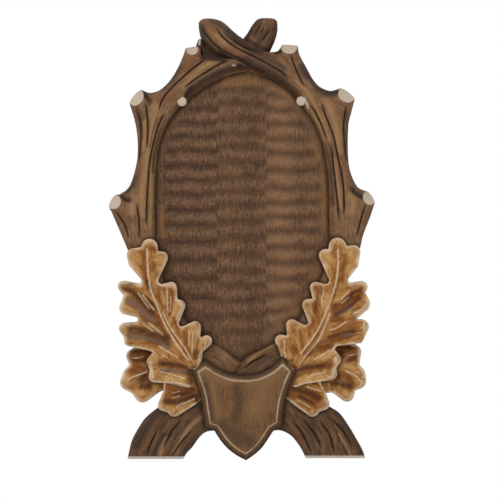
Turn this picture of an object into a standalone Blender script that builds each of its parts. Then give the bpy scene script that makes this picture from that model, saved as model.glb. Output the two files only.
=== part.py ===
"""Carved wooden plaque for mounting antlers: a rippled oval field inside two branches that cross at
the top and the bottom, oak leaves and a shield below, and two sawn feet. The back is one flat plane."""

import math

import bmesh
import bpy
import numpy as np
from mathutils.geometry import delaunay_2d_cdt

# Sizes over all, in metres.
HEIGHT = 0.553
WIDTH = 0.3325

# Thickness of each part of the relief, from the flat back to its front, in metres.
FIELD_THICK = 0.016
LIMB_EDGE = 0.014
LIMB_CROWN = 0.030
LIMB_LOW_CROWN = 0.023
UNDER_BRANCH_CROWN = 0.032
OVER_BRANCH_CROWN = 0.039
BRANCH_END_CROWN = 0.029
SPUR_THICK = 0.024
LOWER_CROSSING_CROWN = 0.033
FOOT_EDGE = 0.014
FOOT_CROWN = 0.026
CUT_FACE_LOW = 0.009
TWIG_THICK = 0.029
BACK_LEAF_EDGE = 0.017
LOW_LEAF_EDGE = 0.0265
SIDE_LEAF_EDGE = 0.028
MAIN_LEAF_EDGE = 0.030
LEAF_SWELL = 0.007
SHIELD_THICK = 0.040
SHIELD_CHAMFER_DEEP = 0.005
SHIELD_CHAMFER_WIDE = 0.007

# Gouge and saw marks, in metres.
RIPPLE_PITCH = 0.0195
RIPPLE_DEEP = 0.0011
RIPPLE_LAND = 0.003
FIELD_MARGIN = 1.07
RIPPLE_COLUMN_GAP = 0.004
FURROW_WIDE = 0.0034
FURROW_DEEP = 0.0026
FURROW_RUN_OUT = 0.012
LIMB_ROUNDING = 0.013
LEAF_ROUNDING = 0.004
LEAF_VEIN_WIDE = 0.006
LEAF_EDGE_SHARE = 0.25
TWIG_RADIUS = 0.0062

# The outlines are drawn on a squared sheet, x to the right and y down from its top left corner.
SHEET_LEFT, SHEET_RIGHT = 109.3, 374.8
SHEET_TOP, SHEET_FOOT = 17.5, 459.6
SHEET_CENTRE = 242.0
SHEET_MOUNT = 238.0
SQUARE_X = WIDTH / (SHEET_RIGHT - SHEET_LEFT)
SQUARE_Z = HEIGHT / (SHEET_FOOT - SHEET_TOP)

# Where the field's three columns of gouge cuts meet, and a row of each column, on the sheet.
RIPPLE_COLUMNS = (211, 265)
RIPPLE_ROWS = (109, 114, 110)
# The radius, on the sheet, from which a lobe of a leaf has a vein of its own.
SMALLEST_VEINED_LOBE = 5.0

# How finely curves and surfaces are cut into flats, in metres.
CHORD_ERROR = 0.0004
EDGE_STEP = 0.008
INNER_STEP = 0.011
LEAF_STEP = 0.008
FURROW_STEP = 0.016
EDGE_RINGS = (0.003, 0.0085)
LEAF_RINGS = (0.0025,)
EDGE_CLEAR = 0.0012
CLOSEST_POINTS = 0.0002
BEHIND_WALL = 0.006

WOOD = (0.16, 0.085, 0.045, 1.0)
WOOD_ROUGHNESS = 0.55


def at(x, y):
    """A point of the sheet as metres across and up from the mounting point."""
    return np.array(((x - SHEET_CENTRE) * SQUARE_X, (SHEET_MOUNT - y) * SQUARE_Z))


def smooth(points, steps=8):
    """A Catmull-Rom curve through points of the sheet, in metres."""
    p = np.array([at(*point) for point in points])
    if len(p) == 2:
        return p
    p = np.vstack((2 * p[0] - p[1], p, 2 * p[-1] - p[-2]))
    found = []
    for a, b, c, d in zip(p, p[1:], p[2:], p[3:]):
        for t in np.arange(steps) / steps:
            turn = (2 * a - 5 * b + 4 * c - d) * t + (3 * b - a - 3 * c + d) * t * t
            found.append(b + 0.5 * t * (c - a + turn))
    return np.array(found + [p[-2]])


def flattened(points, error):
    """The fewest points of a curve that stay within an error of it."""
    first, last = points[0], points[-1]
    along = (last - first) / max(np.linalg.norm(last - first), 1e-9)
    away = points - first
    off = np.abs(away[:, 0] * along[1] - away[:, 1] * along[0])
    far = int(off.argmax())
    if off[far] <= error:
        return np.array((first, last))
    return np.vstack((flattened(points[: far + 1], error)[:-1], flattened(points[far:], error)))


def stepped(points, longest=EDGE_STEP):
    """A chain of points whose long sides are divided evenly."""
    found = []
    for a, b in zip(points[:-1], points[1:]):
        count = max(1, math.ceil(np.linalg.norm(b - a) / longest))
        found.extend(a + (b - a) * k / count for k in range(count))
    return np.array(found + [points[-1]])


class Outline:
    """A closed outline made of stretches, of which only the carved ones round the surface over."""

    def __init__(self, stretches, error=CHORD_ERROR):
        loop = []
        carved = []
        for points, rounds in stretches:
            points = flattened(points, error)
            if rounds:
                points = stepped(points)
            loop.extend(points[:-1])
            if rounds:
                carved.extend(zip(points[:-1], points[1:]))
        loop = np.array(loop)
        apart = np.linalg.norm(loop - np.roll(loop, 1, axis=0), axis=1) > CLOSEST_POINTS
        self.loop = loop[apart]
        following = np.roll(self.loop, -1, axis=0)
        crossed = self.loop[:, 0] * following[:, 1] - following[:, 0] * self.loop[:, 1]
        self.turns_left = crossed.sum() > 0
        self.sides = np.stack((self.loop, following), axis=1)
        self.carved = np.array(carved)


def distance(points, sides):
    """How far each point is from the nearest of the sides."""
    a = sides[None, :, 0]
    along = sides[None, :, 1] - a
    away = points[:, None] - a
    share = (away * along).sum(2) / np.maximum((along * along).sum(2), 1e-12)
    nearest = away - along * np.clip(share, 0, 1)[..., None]
    return np.linalg.norm(nearest, axis=2).min(1)


def inside(points, sides):
    a, b = sides[:, 0], sides[:, 1]
    x, z = points[:, None, 0], points[:, None, 1]
    spans = (a[:, 1] > z) != (b[:, 1] > z)
    rise = np.where(a[:, 1] == b[:, 1], 1.0, b[:, 1] - a[:, 1])
    crosses = x < a[:, 0] + (z - a[:, 1]) / rise * (b[:, 0] - a[:, 0])
    return (spans & crosses).sum(1) % 2 == 1


def belt(circles, error=CHORD_ERROR / SQUARE_X):
    """The outline of a belt round circles of the sheet, which it meets in turn with its inside on the
    left. A lobe has a positive radius, a rounded notch a negative one and a sharp corner none. The belt
    is drawn on the sheet, so that it stretches with it."""
    centres = [np.array((x, -y)) for x, y, _ in circles]
    radii = [radius for _, _, radius in circles]
    normals = []
    for i, centre in enumerate(centres):
        j = (i + 1) % len(centres)
        ahead = centres[j] - centre
        length = np.linalg.norm(ahead)
        ahead = ahead / length
        lean = (radii[i] - radii[j]) / length
        right = np.array((ahead[1], -ahead[0]))
        normals.append(ahead * lean + right * math.sqrt(1 - lean * lean))
    points = []
    for i, (centre, radius) in enumerate(zip(centres, radii)):
        arrives = math.atan2(normals[i - 1][1], normals[i - 1][0])
        leaves = math.atan2(normals[i][1], normals[i][0])
        sweep = (leaves - arrives) % math.tau
        if radius <= 0:
            sweep -= math.tau
        if abs(sweep) > 1.8 * math.pi:
            sweep -= math.copysign(math.tau, sweep)
        step = 2 * math.acos(max(0.0, 1 - error / max(abs(radius), 2 * error)))
        count = 1 if radius == 0 else max(1, math.ceil(abs(sweep) / step))
        for k in range(count + 1 if radius else 1):
            angle = arrives + sweep * k / count
            points.append(centre + radius * np.array((math.cos(angle), math.sin(angle))))
    return np.array([at(x, -y) for x, y in points + points[:1]])


def crown(away, edge, top, rounding):
    """The thickness of a rounded branch or leaf at a distance from its edge."""
    slope = 1 - np.clip(away / rounding, 0, 1)
    return edge + (top - edge) * np.sqrt(1 - slope * slope)


class Fall:
    """A crown that goes from one thickness to another between two points of the sheet."""

    def __init__(self, start, end, top, end_top):
        self.start = at(*start)
        self.run = at(*end) - self.start
        self.top, self.end_top = top, end_top

    def at_points(self, points):
        share = np.clip((points - self.start) @ self.run / (self.run @ self.run), 0, 1)
        return self.top + (self.end_top - self.top) * share


class Furrow:
    """A V-shaped cut along a curve of the sheet, which runs out at both ends."""

    def __init__(self, points, step=FURROW_STEP):
        path = smooth(points)
        lengths = np.r_[0, np.cumsum(np.linalg.norm(np.diff(path, axis=0), axis=1))]
        count = max(3, round(lengths[-1] / step) + 1)
        marks = np.linspace(0, lengths[-1], count)
        self.path = np.stack([np.interp(marks, lengths, path[:, k]) for k in (0, 1)], axis=1)
        self.sides = np.stack((self.path[:-1], self.path[1:]), axis=1)

    def cut(self, points):
        away = distance(points, self.sides)
        from_end = np.minimum(*(np.linalg.norm(points - self.path[k], axis=1) for k in (0, -1)))
        slope = np.clip(1 - 2 * away / FURROW_WIDE, 0, 1)
        return FURROW_DEEP * slope * np.clip(from_end / FURROW_RUN_OUT, 0, 1)

    def guides(self):
        """Its bottom line and its two lips, as open chains of points."""
        along = np.gradient(self.path, axis=0)
        along = along / np.linalg.norm(along, axis=1)[:, None]
        across = np.stack((-along[:, 1], along[:, 0]), axis=1) * FURROW_WIDE / 2
        across[[0, -1]] = 0
        return [self.path, (self.path + across)[1:-1], (self.path - across)[1:-1]]


class Cut:
    """The sawn end of a stub: an oval face that leans outwards, between two corners of the outline."""

    def __init__(self, start, end, out, back, low, top):
        self.start, self.end = at(*start), at(*end)
        self.middle = (self.start + self.end) / 2
        chord = self.end - self.start
        outward = np.array((chord[1], -chord[0])) / np.linalg.norm(chord)
        if outward @ self.middle < 0:
            outward = -outward
        self.outward = outward
        self.out, self.back = out * SQUARE_X, back * SQUARE_X
        self.low, self.top = low, top

    def arc(self, bulge, steps):
        """An arc-like curve from corner to corner, bulging outwards by a length."""
        angles = np.linspace(0, math.pi, steps)[:, None]
        half = (self.start - self.end) / 2
        return self.middle + half * np.cos(angles) + self.outward * bulge * np.sin(angles)

    def surface(self, points):
        """The thickness of the face's plane near this stub, and the full thickness elsewhere."""
        away = (points - self.middle) @ self.outward
        plane = self.low + (self.out - away) / (self.out + self.back) * (self.top - self.low)
        reach = np.linalg.norm(self.end - self.start)
        near = np.linalg.norm(points - self.middle, axis=1) < 1.5 * reach
        return np.where(near, plane, self.top)


def relief(name, outline, thickness, chains=(), inner_step=INNER_STEP, rings=EDGE_RINGS):
    """A closed solid over an outline, from behind the wall plane to a carved front surface. The chains
    are lines that the front surface creases along."""
    points = list(outline.loop)
    edges = [(i, (i + 1) % len(points)) for i in range(len(points))]
    for chain in chains:
        kept = chain[inside(chain, outline.sides) & (distance(chain, outline.sides) > EDGE_CLEAR)]
        if len(kept) < 2:
            continue
        first = len(points)
        points.extend(kept)
        edges.extend((i, i + 1) for i in range(first, len(points) - 1))

    def add(candidates, gap):
        candidates = candidates[inside(candidates, outline.sides)]
        for candidate in candidates:
            if np.linalg.norm(np.array(points) - candidate, axis=1).min() > gap:
                points.append(candidate)

    a, b = outline.sides[:, 0], outline.sides[:, 1]
    inward = np.stack((a[:, 1] - b[:, 1], b[:, 0] - a[:, 0]), axis=1)
    inward = inward / np.linalg.norm(inward, axis=1)[:, None] * (1 if outline.turns_left else -1)
    inward = inward + np.roll(inward, 1, axis=0)
    inward = inward / np.maximum(np.linalg.norm(inward, axis=1)[:, None], 0.5)
    for ring in rings:
        offset = a + inward * ring
        offset = offset[distance(offset, outline.sides) > 0.8 * ring]
        add(offset, 0.75 * ring)
    low, high = outline.loop.min(0), outline.loop.max(0)
    rows = np.arange(low[1], high[1], inner_step * math.sqrt(3) / 2)
    for i, z in enumerate(rows):
        across = np.arange(low[0] + (i % 2) * inner_step / 2, high[0], inner_step)
        add(np.stack((across, np.full(len(across), z)), axis=1), 0.62 * inner_step)

    flat, _, faces, *_ = delaunay_2d_cdt(
        [tuple(map(float, p)) for p in points], edges, [list(range(len(outline.loop)))], 1, 1e-7
    )
    flat = np.array([tuple(p) for p in flat])
    front = thickness(flat)
    mesh = bmesh.new()
    tops = [mesh.verts.new((x, -y, z)) for (x, z), y in zip(flat, front)]
    lows = [mesh.verts.new((x, BEHIND_WALL, z)) for x, z in flat]
    uses = {}
    for face in faces:
        mesh.faces.new([tops[i] for i in face])
        mesh.faces.new([lows[i] for i in reversed(face)])
        for pair in zip(face, list(face[1:]) + [face[0]]):
            uses[pair] = uses.get(pair, 0) + 1
    for i, j in uses:
        if (j, i) not in uses:
            mesh.faces.new((tops[j], tops[i], lows[i], lows[j]))
    bmesh.ops.recalc_face_normals(mesh, faces=mesh.faces)
    data = bpy.data.meshes.new(name)
    mesh.to_mesh(data)
    mesh.free()
    return bpy.data.objects.new(name, data)


def helper(obj, collection):
    """Keeps a solid that another one is joined or cut with out of the render."""
    obj.hide_render = True
    obj.display_type = "WIRE"
    collection.objects.link(obj)


# The border of the oval field, from the top crossing down either side to the point at the bottom.
LEFT_BORDER = ((243, 72.5), (228, 76), (213, 83), (200, 91), (190, 99), (178, 110), (169, 122),
               (163, 134), (159, 148), (157, 162), (156, 180), (155.5, 210), (156, 245), (160, 268),
               (168, 290), (179, 310), (190, 324), (202, 335), (213, 343), (225, 350), (240, 361))
RIGHT_BORDER = ((262, 76), (272, 80), (284, 88), (295, 97), (305, 110), (314, 124), (321, 140),
                (325, 158), (328, 180), (328.5, 205), (329, 247), (325, 265), (318, 285), (308, 305),
                (297, 322), (285, 335), (272, 344), (262, 349), (250, 354), (241, 361), (236, 367))

LEFT_STUBS = (((197, 46), (185.3, 48), 0.6, 8.0), ((142.5, 90), (130, 105), 3.6, 7.0),
              ((119, 194.5), (110.5, 210), 4.6, 6.0))
RIGHT_STUBS = (((282, 44.5), (298, 45.5), 0.7, 9.0), ((339, 88.5), (354.5, 100), 3.2, 7.8),
               ((365.5, 191), (374.5, 204), 2.6, 7.2))

LEFT_FURROWS = (
    ((207, 57.5), (190, 71), (170, 89.5), (161, 103), (158.5, 111)),
    ((220, 64), (200, 76), (187, 86), (181, 92)),
    ((164.5, 114), (157, 130), (152, 150), (148.5, 180), (146.5, 225)),
    ((145, 103), (148, 120), (148.5, 135), (147, 150)),
    ((136, 107), (140, 122), (141, 140), (139.5, 160)),
    ((137, 203), (139.5, 220), (139, 238)),
    ((115, 212), (125, 226), (129, 241)),
)
RIGHT_FURROWS = (
    ((290, 55), (296, 70), (304, 86)),
    ((310, 106), (320, 123), (326.5, 140)),
    ((321, 103), (330, 130), (340, 168), (344, 195), (344, 216)),
    ((330, 146), (334, 170), (337, 195), (338, 216)),
    ((347, 105), (344, 120), (344, 140), (347, 162)),
    ((365, 207), (359, 226), (356.5, 238)),
)
OVER_FURROWS = (
    ((216, 29), (225, 39), (240, 50), (260, 60), (278, 69), (293, 82)),
    ((202, 27), (208, 38), (219, 48)),
    ((231, 38), (245, 47), (258, 52)),
)
UNDER_FURROWS = (((261, 23), (257, 30), (254, 36)), ((271, 28), (266, 36), (261, 44)))
LEFT_FOOT_FURROWS = (((158, 430), (150, 444), (146, 457)), ((180, 421), (168, 437), (163, 449)),
                     ((192, 431), (181, 443), (172, 457)))
RIGHT_FOOT_FURROWS = (((293, 422), (305, 438), (313, 454)), ((304, 420), (315, 433), (323, 446)),
                      ((324, 423), (333, 438), (336, 453)), ((335, 422), (345, 435), (351, 445)))

# Each leaf: the belt round its lobes and notches, and its midrib from the stalk to the tip.
LEFT_MAIN_LEAF = (
    ((200, 374, 0), (203, 352, 0), (206.5, 341, 5.8), (201.5, 336, -1), (195.3, 326.8, 5.8),
     (182, 323.5, -3), (179.8, 305.5, 5.7), (178.3, 298.5, -0.6), (171.3, 287.5, 5.7), (162, 280.5, -3.5),
     (162, 257.5, 6.2), (158.8, 250.6, -0.6), (149.7, 247, 8.2), (140.6, 246.6, -0.6), (133, 254.5, 6.2),
     (133.6, 263, 4.9), (138.5, 280.5, -3), (123.5, 286.3, 5.5), (122.5, 295.5, -1), (126, 308, 6.5),
     (135.5, 319.5, -2.6), (124.5, 328.5, 5.4), (122.6, 336.5, -1), (129.2, 341.3, 4.8),
     (151, 351, 0), (170, 366, 0)),
    ((196, 368), (170, 335), (157, 305), (149, 280), (148, 247)),
)
LEFT_SIDE_LEAF = (
    ((204, 392, 0), (200, 362, 0), (155, 350, 0), (152, 361.5, 5.2), (148.8, 369.5, -1),
     (154.2, 377, 5.4), (170, 383.5, 0)),
    ((200, 372), (180, 366), (158, 361)),
)
LEFT_BACK_LEAF = (
    ((175, 386, 0), (170, 350, 0), (140, 344, 0), (132, 356, 6.0), (127.5, 364.5, -1.5),
     (130, 375, 7.2), (128, 382.5, 8.0), (131.5, 394, -0.6), (142.5, 394.5, 8.3), (160, 392, 0)),
    ((175, 368), (150, 371), (127, 380)),
)
LEFT_LOW_LEAF = (
    ((206, 396, 0), (200, 380, 0), (164, 380, 0), (161.5, 390, -2), (163.5, 405.5, 5.7),
     (167.3, 413, -0.6), (174.5, 410.5, 6.4), (197, 403.5, 0)),
    ((202, 388), (185, 398), (168, 408)),
)
RIGHT_MAIN_LEAF = (
    ((288, 374, 0), (320, 366, 0), (337, 346, 0), (361.5, 343, 0), (361.5, 326.8, 7.3),
     (358, 318.6, -0.8), (361.2, 303.6, 8.8), (366.2, 292.5, -1), (361.6, 286.9, 5.9),
     (351, 279.8, -3), (353.5, 264, 4.9), (353.3, 252, 7.0), (347, 245.4, -0.6), (337.3, 246.3, 8.7),
     (327.9, 248.4, -0.6), (325, 255.3, 6.3), (325.5, 280.5, -3.5), (315.3, 287.3, 5.5),
     (311.8, 298.2, -0.6), (307.8, 304.8, 5.9), (305, 322, -3), (291.8, 325, 5.9), (286, 334.5, -1),
     (280.7, 340.5, 5.9), (281, 362, 0)),
    ((292, 368), (318, 330), (333, 290), (338, 262), (337, 246)),
)
RIGHT_SIDE_LEAF = (
    ((284, 392, 0), (305, 384, 0), (331, 373.8, 6.2), (337.2, 368, -1), (334.5, 359.5, 6.3),
     (334, 347, -1), (320, 338, 0), (286, 362, 0)),
    ((288, 374), (310, 366), (333, 361)),
)
RIGHT_BACK_LEAF = (
    ((320, 394, 0), (331.5, 396, -3.2), (347, 394.8, 7.2), (356.5, 391.5, -1), (358, 381, 8.4),
     (357.5, 374.5, 8.0), (361, 364.5, -1.5), (355, 352, 6.5), (345, 338, 0), (318, 346, 0)),
    ((318, 366), (340, 370), (361, 381)),
)
RIGHT_LOW_LEAF = (
    ((282, 395, 0), (294, 405, 0), (312.5, 410.3, 6.5), (319.6, 412.4, -0.5), (323.3, 404, 6.2),
     (327, 393.5, -0.8), (318, 378, 0), (288, 380, 0)),
    ((286, 387), (303, 397), (320, 407)),
)

SHIELD_STRETCHES = (
    ((191, 369.7), (205.5, 359.8)),
    ((205.5, 359.8), (219.9, 368.9), (235, 374.1), (253, 374.1), (269, 368), (282.4, 356.4)),
    ((282.4, 356.4), (296.8, 369.7)),
    ((296.8, 369.7), (289.5, 386), (285, 401), (283, 414), (282.4, 425.3)),
    ((282.4, 425.3), (273, 431)),
    ((273, 431), (263, 446), (255, 453.8), (246.3, 460)),
    ((246.3, 460), (237.5, 455.6), (228, 448.5), (220.5, 440), (214.5, 430.5)),
    ((214.5, 430.5), (205, 427.5)),
    ((205, 427.5), (202.4, 411), (199.6, 394), (191, 369.7)),
)


def limb(name, stretches, stubs, furrows):
    """A branch along one side of the field. The stubs' sawn faces stand between the stretches."""
    cuts = [Cut(*stub, low=CUT_FACE_LOW, top=LIMB_CROWN) for stub in stubs]
    fall = Fall((SHEET_CENTRE, 235), (SHEET_CENTRE, 300), LIMB_CROWN, LIMB_LOW_CROWN)
    outline = []
    for i, (points, rounds) in enumerate(stretches):
        outline.append((smooth(points), rounds))
        if i < len(cuts):
            outline.append((cuts[i].arc(cuts[i].out, 9), False))
    outline = Outline(outline)
    furrows = [Furrow(points) for points in furrows]

    def thickness(points):
        away = distance(points, outline.carved)
        thick = crown(away, LIMB_EDGE, fall.at_points(points), LIMB_ROUNDING)
        for furrow in furrows:
            thick = thick - furrow.cut(points)
        for cut in cuts:
            thick = np.minimum(thick, cut.surface(points))
        return thick

    chains = [cut.arc(-cut.back, 9)[1:-1] for cut in cuts]
    chains += [chain for furrow in furrows for chain in furrow.guides()]
    return relief(name, outline, thickness, chains)


def branch(name, stretches, edge, fall, furrows=(), rounding=LIMB_ROUNDING):
    outline = Outline([(smooth(points), rounds) for points, rounds in stretches])
    furrows = [Furrow(points) for points in furrows]

    def thickness(points):
        top = fall.at_points(points) if isinstance(fall, Fall) else fall
        thick = crown(distance(points, outline.carved), edge, top, rounding)
        for furrow in furrows:
            thick = thick - furrow.cut(points)
        return thick

    chains = [chain for furrow in furrows for chain in furrow.guides()]
    return relief(name, outline, thickness, chains)


def leaf(name, drawing, edge):
    """A lobed leaf: each lobe swells along a vein that leaves the midrib towards the tip."""
    circles, midrib = drawing
    points = belt(circles)
    outline = Outline([(np.array(pair), True) for pair in zip(points[:-1], points[1:])])
    rib = flattened(smooth(midrib), CHORD_ERROR)
    along = smooth(midrib)
    veins = []
    for x, y, radius in circles:
        if radius < SMALLEST_VEINED_LOBE:
            continue
        tip = at(x, y)
        away = np.linalg.norm(along - tip, axis=1)
        nearest = int(away.argmin())
        run = np.cumsum(np.linalg.norm(np.diff(along[: nearest + 1], axis=0), axis=1)[::-1])
        back = int(np.searchsorted(run, 0.9 * away[nearest]))
        veins.append(np.array((along[max(nearest - back, 0)], tip)))
    veins = np.array(veins)

    def thickness(points):
        rounded = crown(distance(points, outline.sides), 0, 1, LEAF_ROUNDING)
        away = distance(points, np.vstack((veins, np.stack((rib[:-1], rib[1:]), axis=1))))
        ridge = np.exp(-((away / LEAF_VEIN_WIDE) ** 2))
        return edge + LEAF_SWELL * rounded * (LEAF_EDGE_SHARE + (1 - LEAF_EDGE_SHARE) * ridge)

    chains = [rib] + [stepped(vein)[1:] for vein in veins]
    return relief(name, outline, thickness, chains, LEAF_STEP, LEAF_RINGS)


def field():
    """The oval field, crossed by rows of shallow gouge cuts in three columns out of step."""
    left, right = smooth(LEFT_BORDER), smooth(RIGHT_BORDER)[::-1]
    middle = (left.mean(0) + right.mean(0)) / 2
    left, right = (middle + (side - middle) * FIELD_MARGIN for side in (left, right))
    outline = Outline([(left, False), (np.array((left[-1], right[0])), False), (right, False),
                       (np.array((right[-1], left[0])), False)], 4 * CHORD_ERROR)
    borders = [at(x, 0)[0] for x in RIPPLE_COLUMNS]
    shifts = [at(0, y)[1] for y in RIPPLE_ROWS]
    from_border = RIPPLE_COLUMN_GAP / 2
    half = (RIPPLE_PITCH - RIPPLE_LAND) / 2

    def thickness(points):
        column = (points[:, 0] > borders[0]).astype(int) + (points[:, 0] > borders[1])
        phase = (np.array(shifts)[column] - points[:, 1]) / RIPPLE_PITCH
        from_trough = np.abs(phase - np.round(phase)) * RIPPLE_PITCH
        return FIELD_THICK - RIPPLE_DEEP * (1 - np.clip(from_trough / half, 0, 1))

    chains = []
    low, high = outline.loop[:, 1].min(), outline.loop[:, 1].max()
    low_side, high_side = outline.loop[:, 0].min(), outline.loop[:, 0].max()
    across = ((low_side, borders[0] - from_border), (borders[0] + from_border, borders[1] - from_border),
              (borders[1] + from_border, high_side))
    for (left, right), shift in zip(across, shifts):
        first = math.floor((shift - high) / RIPPLE_PITCH)
        last = math.ceil((shift - low) / RIPPLE_PITCH)
        for k in range(first, last + 1):
            for row in (shift - k * RIPPLE_PITCH + step for step in (-half, 0, half)):
                line = np.stack((np.linspace(left, right, 60), np.full(60, row)), axis=1)
                clear = distance(line, outline.sides) > EDGE_CLEAR
                line = line[inside(line, outline.sides) & clear]
                if len(line) > 1:
                    chains.append(line[[0, -1]])
    return relief("field", outline, thickness, chains, HEIGHT, ())


def shield():
    outline = Outline([(smooth(points), True) for points in SHIELD_STRETCHES])

    def thickness(points):
        away = distance(points, outline.sides)
        return SHIELD_THICK - SHIELD_CHAMFER_DEEP * (1 - np.clip(away / SHIELD_CHAMFER_WIDE, 0, 1))

    following = np.roll(outline.loop, -1, axis=0)
    before = np.roll(outline.loop, 1, axis=0)
    side = 1 if outline.turns_left else -1
    inset = []
    for a, b, c in zip(before, outline.loop, following):
        first = (b - a) / np.linalg.norm(b - a)
        second = (c - b) / np.linalg.norm(c - b)
        normals = [np.array((-v[1], v[0])) * side for v in (first, second)]
        mitre = normals[0] + normals[1]
        inset.append(b + mitre * SHIELD_CHAMFER_WIDE / (1 + normals[0] @ normals[1]))
    inset = np.array(inset)
    ring = inset[distance(inset, outline.sides) > 0.93 * SHIELD_CHAMFER_WIDE]
    return relief("shield", outline, thickness, [np.vstack((ring, ring[:1]))], HEIGHT, ())


def twig(name, x, y):
    """The sawn end of a thin twig that points straight out of the limb."""
    mesh = bmesh.new()
    deep = TWIG_THICK + BEHIND_WALL
    bmesh.ops.create_cone(mesh, cap_ends=True, segments=12, radius1=TWIG_RADIUS, radius2=TWIG_RADIUS,
                          depth=deep)
    across, up = at(x, y)
    for vert in mesh.verts:
        vert.co = (across + vert.co.x, vert.co.z + (BEHIND_WALL - TWIG_THICK) / 2, up - vert.co.y)
    bmesh.ops.recalc_face_normals(mesh, faces=mesh.faces)
    data = bpy.data.meshes.new(name)
    mesh.to_mesh(data)
    mesh.free()
    return bpy.data.objects.new(name, data)


def wall_slab():
    """Everything behind the wall plane, which is cut away to leave the flat back."""
    mesh = bmesh.new()
    bmesh.ops.create_cube(mesh, size=1)
    for vert in mesh.verts:
        vert.co = (vert.co.x * 2 * WIDTH, (vert.co.y + 0.5) * 2 * BEHIND_WALL, vert.co.z * 2 * HEIGHT)
    data = bpy.data.meshes.new("wall_slab")
    mesh.to_mesh(data)
    mesh.free()
    return bpy.data.objects.new("wall_slab", data)


def wood():
    material = bpy.data.materials.new("stained_lime")
    material.use_nodes = True
    shader = material.node_tree.nodes["Principled BSDF"]
    shader.inputs["Base Color"].default_value = WOOD
    shader.inputs["Roughness"].default_value = WOOD_ROUGHNESS
    return material


def left_limb():
    return limb("left_limb", (
        (((246, 66), (241, 57), (230, 50), (214, 46), (205, 49), (197, 46)), False),
        (((185.3, 48), (184, 53), (178, 67), (170, 80), (160, 89.5), (150, 92.5), (142.5, 90)), True),
        (((130, 105), (135, 122), (137.5, 140), (137, 160), (132, 180), (127, 189), (119, 194.5)), True),
        (((110.5, 210), (118, 227), (126, 246), (132, 260), (142, 276)), True),
        (((142, 276), (148, 300), (160, 335), (185, 365), (215, 385), (240, 385)), False),
        (((240, 385), (246, 372), (240, 361)), False),
        (LEFT_BORDER[::-1], True),
        (((243, 72.5), (246, 66)), False),
    ), LEFT_STUBS, LEFT_FURROWS)


def right_limb():
    return limb("right_limb", (
        (((256, 60), (262, 53), (270, 52.3), (277, 51.5), (280.5, 47.7), (282, 44.5)), False),
        (((298, 45.5), (299, 53), (303, 61), (308, 70), (313, 79), (320, 86.5), (330, 90.5),
          (339, 88.5)), True),
        (((354.5, 100), (351.5, 112), (348.5, 125), (348, 150), (350, 170), (357, 186),
          (365.5, 191)), True),
        (((374.5, 204), (371, 215), (363, 236), (359.5, 250), (349, 268)), True),
        (((349, 268), (343, 295), (332, 325), (312, 355), (285, 375), (260, 386), (240, 386)), False),
        (((240, 386), (232, 376), (236, 367)), False),
        (RIGHT_BORDER[::-1], True),
        (((262, 76), (256, 68), (256, 60)), False),
    ), RIGHT_STUBS, RIGHT_FURROWS)


def crossed_tops():
    over = branch("over_branch", (
        (((299, 93), (286, 88), (270, 77), (250, 69), (230, 59), (212, 52), (202, 40), (199, 30),
          (198.5, 22)), True),
        (((198.5, 22), (203, 18.4), (213, 18.2), (223, 21.6), (234, 31.4), (243, 38.2), (260, 47.5),
          (275, 53)), True),
        (((275, 53), (290, 66), (300, 80), (304, 92), (299, 93)), False),
    ), LIMB_EDGE, Fall((245, 50), (300, 90), OVER_BRANCH_CROWN, BRANCH_END_CROWN), OVER_FURROWS)
    under = branch("under_branch", (
        (((240, 58), (234, 48), (243, 38.5)), False),
        (((243, 38.5), (248, 32), (252, 25), (258, 18.6), (266, 17.5), (274, 18.2), (277.3, 21)), True),
        (((277.3, 21), (277.5, 30), (275, 40), (270, 51)), True),
        (((270, 51), (256, 58), (240, 58)), False),
    ), LIMB_EDGE, UNDER_BRANCH_CROWN, UNDER_FURROWS)
    spur = branch("spur", (
        (((195, 47), (197.5, 40), (199.5, 38.4), (204, 42), (212, 52)), True),
        (((212, 52), (206, 62), (195, 47)), False),
    ), LIMB_EDGE, SPUR_THICK)
    return [over, under, spur]


def lower_crossing():
    return branch("lower_crossing", (
        (((280, 337), (272, 343), (262, 349), (250, 354), (241, 361), (234, 370), (226, 382)), True),
        (((226, 382), (262, 392), (296, 372), (280, 337)), False),
    ), LIMB_EDGE, LOWER_CROSSING_CROWN, rounding=0.008)


def feet():
    left = branch("left_foot", (
        (((158, 408), (150, 414), (143, 421), (135, 434), (131, 443), (127.3, 459.6)), True),
        (((127.3, 459.6), (183, 459.6)), False),
        (((183, 459.6), (187, 453), (192, 448), (200, 437), (207, 432), (216, 431)), True),
        (((216, 431), (236, 425), (225, 400), (200, 385), (175, 392), (158, 408)), False),
    ), FOOT_EDGE, FOOT_CROWN, LEFT_FOOT_FURROWS)
    right = branch("right_foot", (
        (((306, 458.8), (300, 447), (291, 436), (281, 431), (272, 431)), True),
        (((272, 431), (252, 425), (262, 400), (290, 385), (312, 390), (329.5, 407)), False),
        (((329.5, 407), (340, 414), (350, 428), (357.5, 441), (362.5, 450), (365.5, 458.8)), True),
        (((365.5, 458.8), (306, 458.8)), False),
    ), FOOT_EDGE, FOOT_CROWN, RIGHT_FOOT_FURROWS)
    return [left, right]


def leaves():
    drawn = (("back", BACK_LEAF_EDGE, LEFT_BACK_LEAF, RIGHT_BACK_LEAF),
             ("low", LOW_LEAF_EDGE, LEFT_LOW_LEAF, RIGHT_LOW_LEAF),
             ("side", SIDE_LEAF_EDGE, LEFT_SIDE_LEAF, RIGHT_SIDE_LEAF),
             ("main", MAIN_LEAF_EDGE, LEFT_MAIN_LEAF, RIGHT_MAIN_LEAF))
    made = []
    for name, edge, left, right in drawn:
        made.append(leaf(f"left_{name}_leaf", left, edge))
        made.append(leaf(f"right_{name}_leaf", right, edge))
    return made


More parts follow.
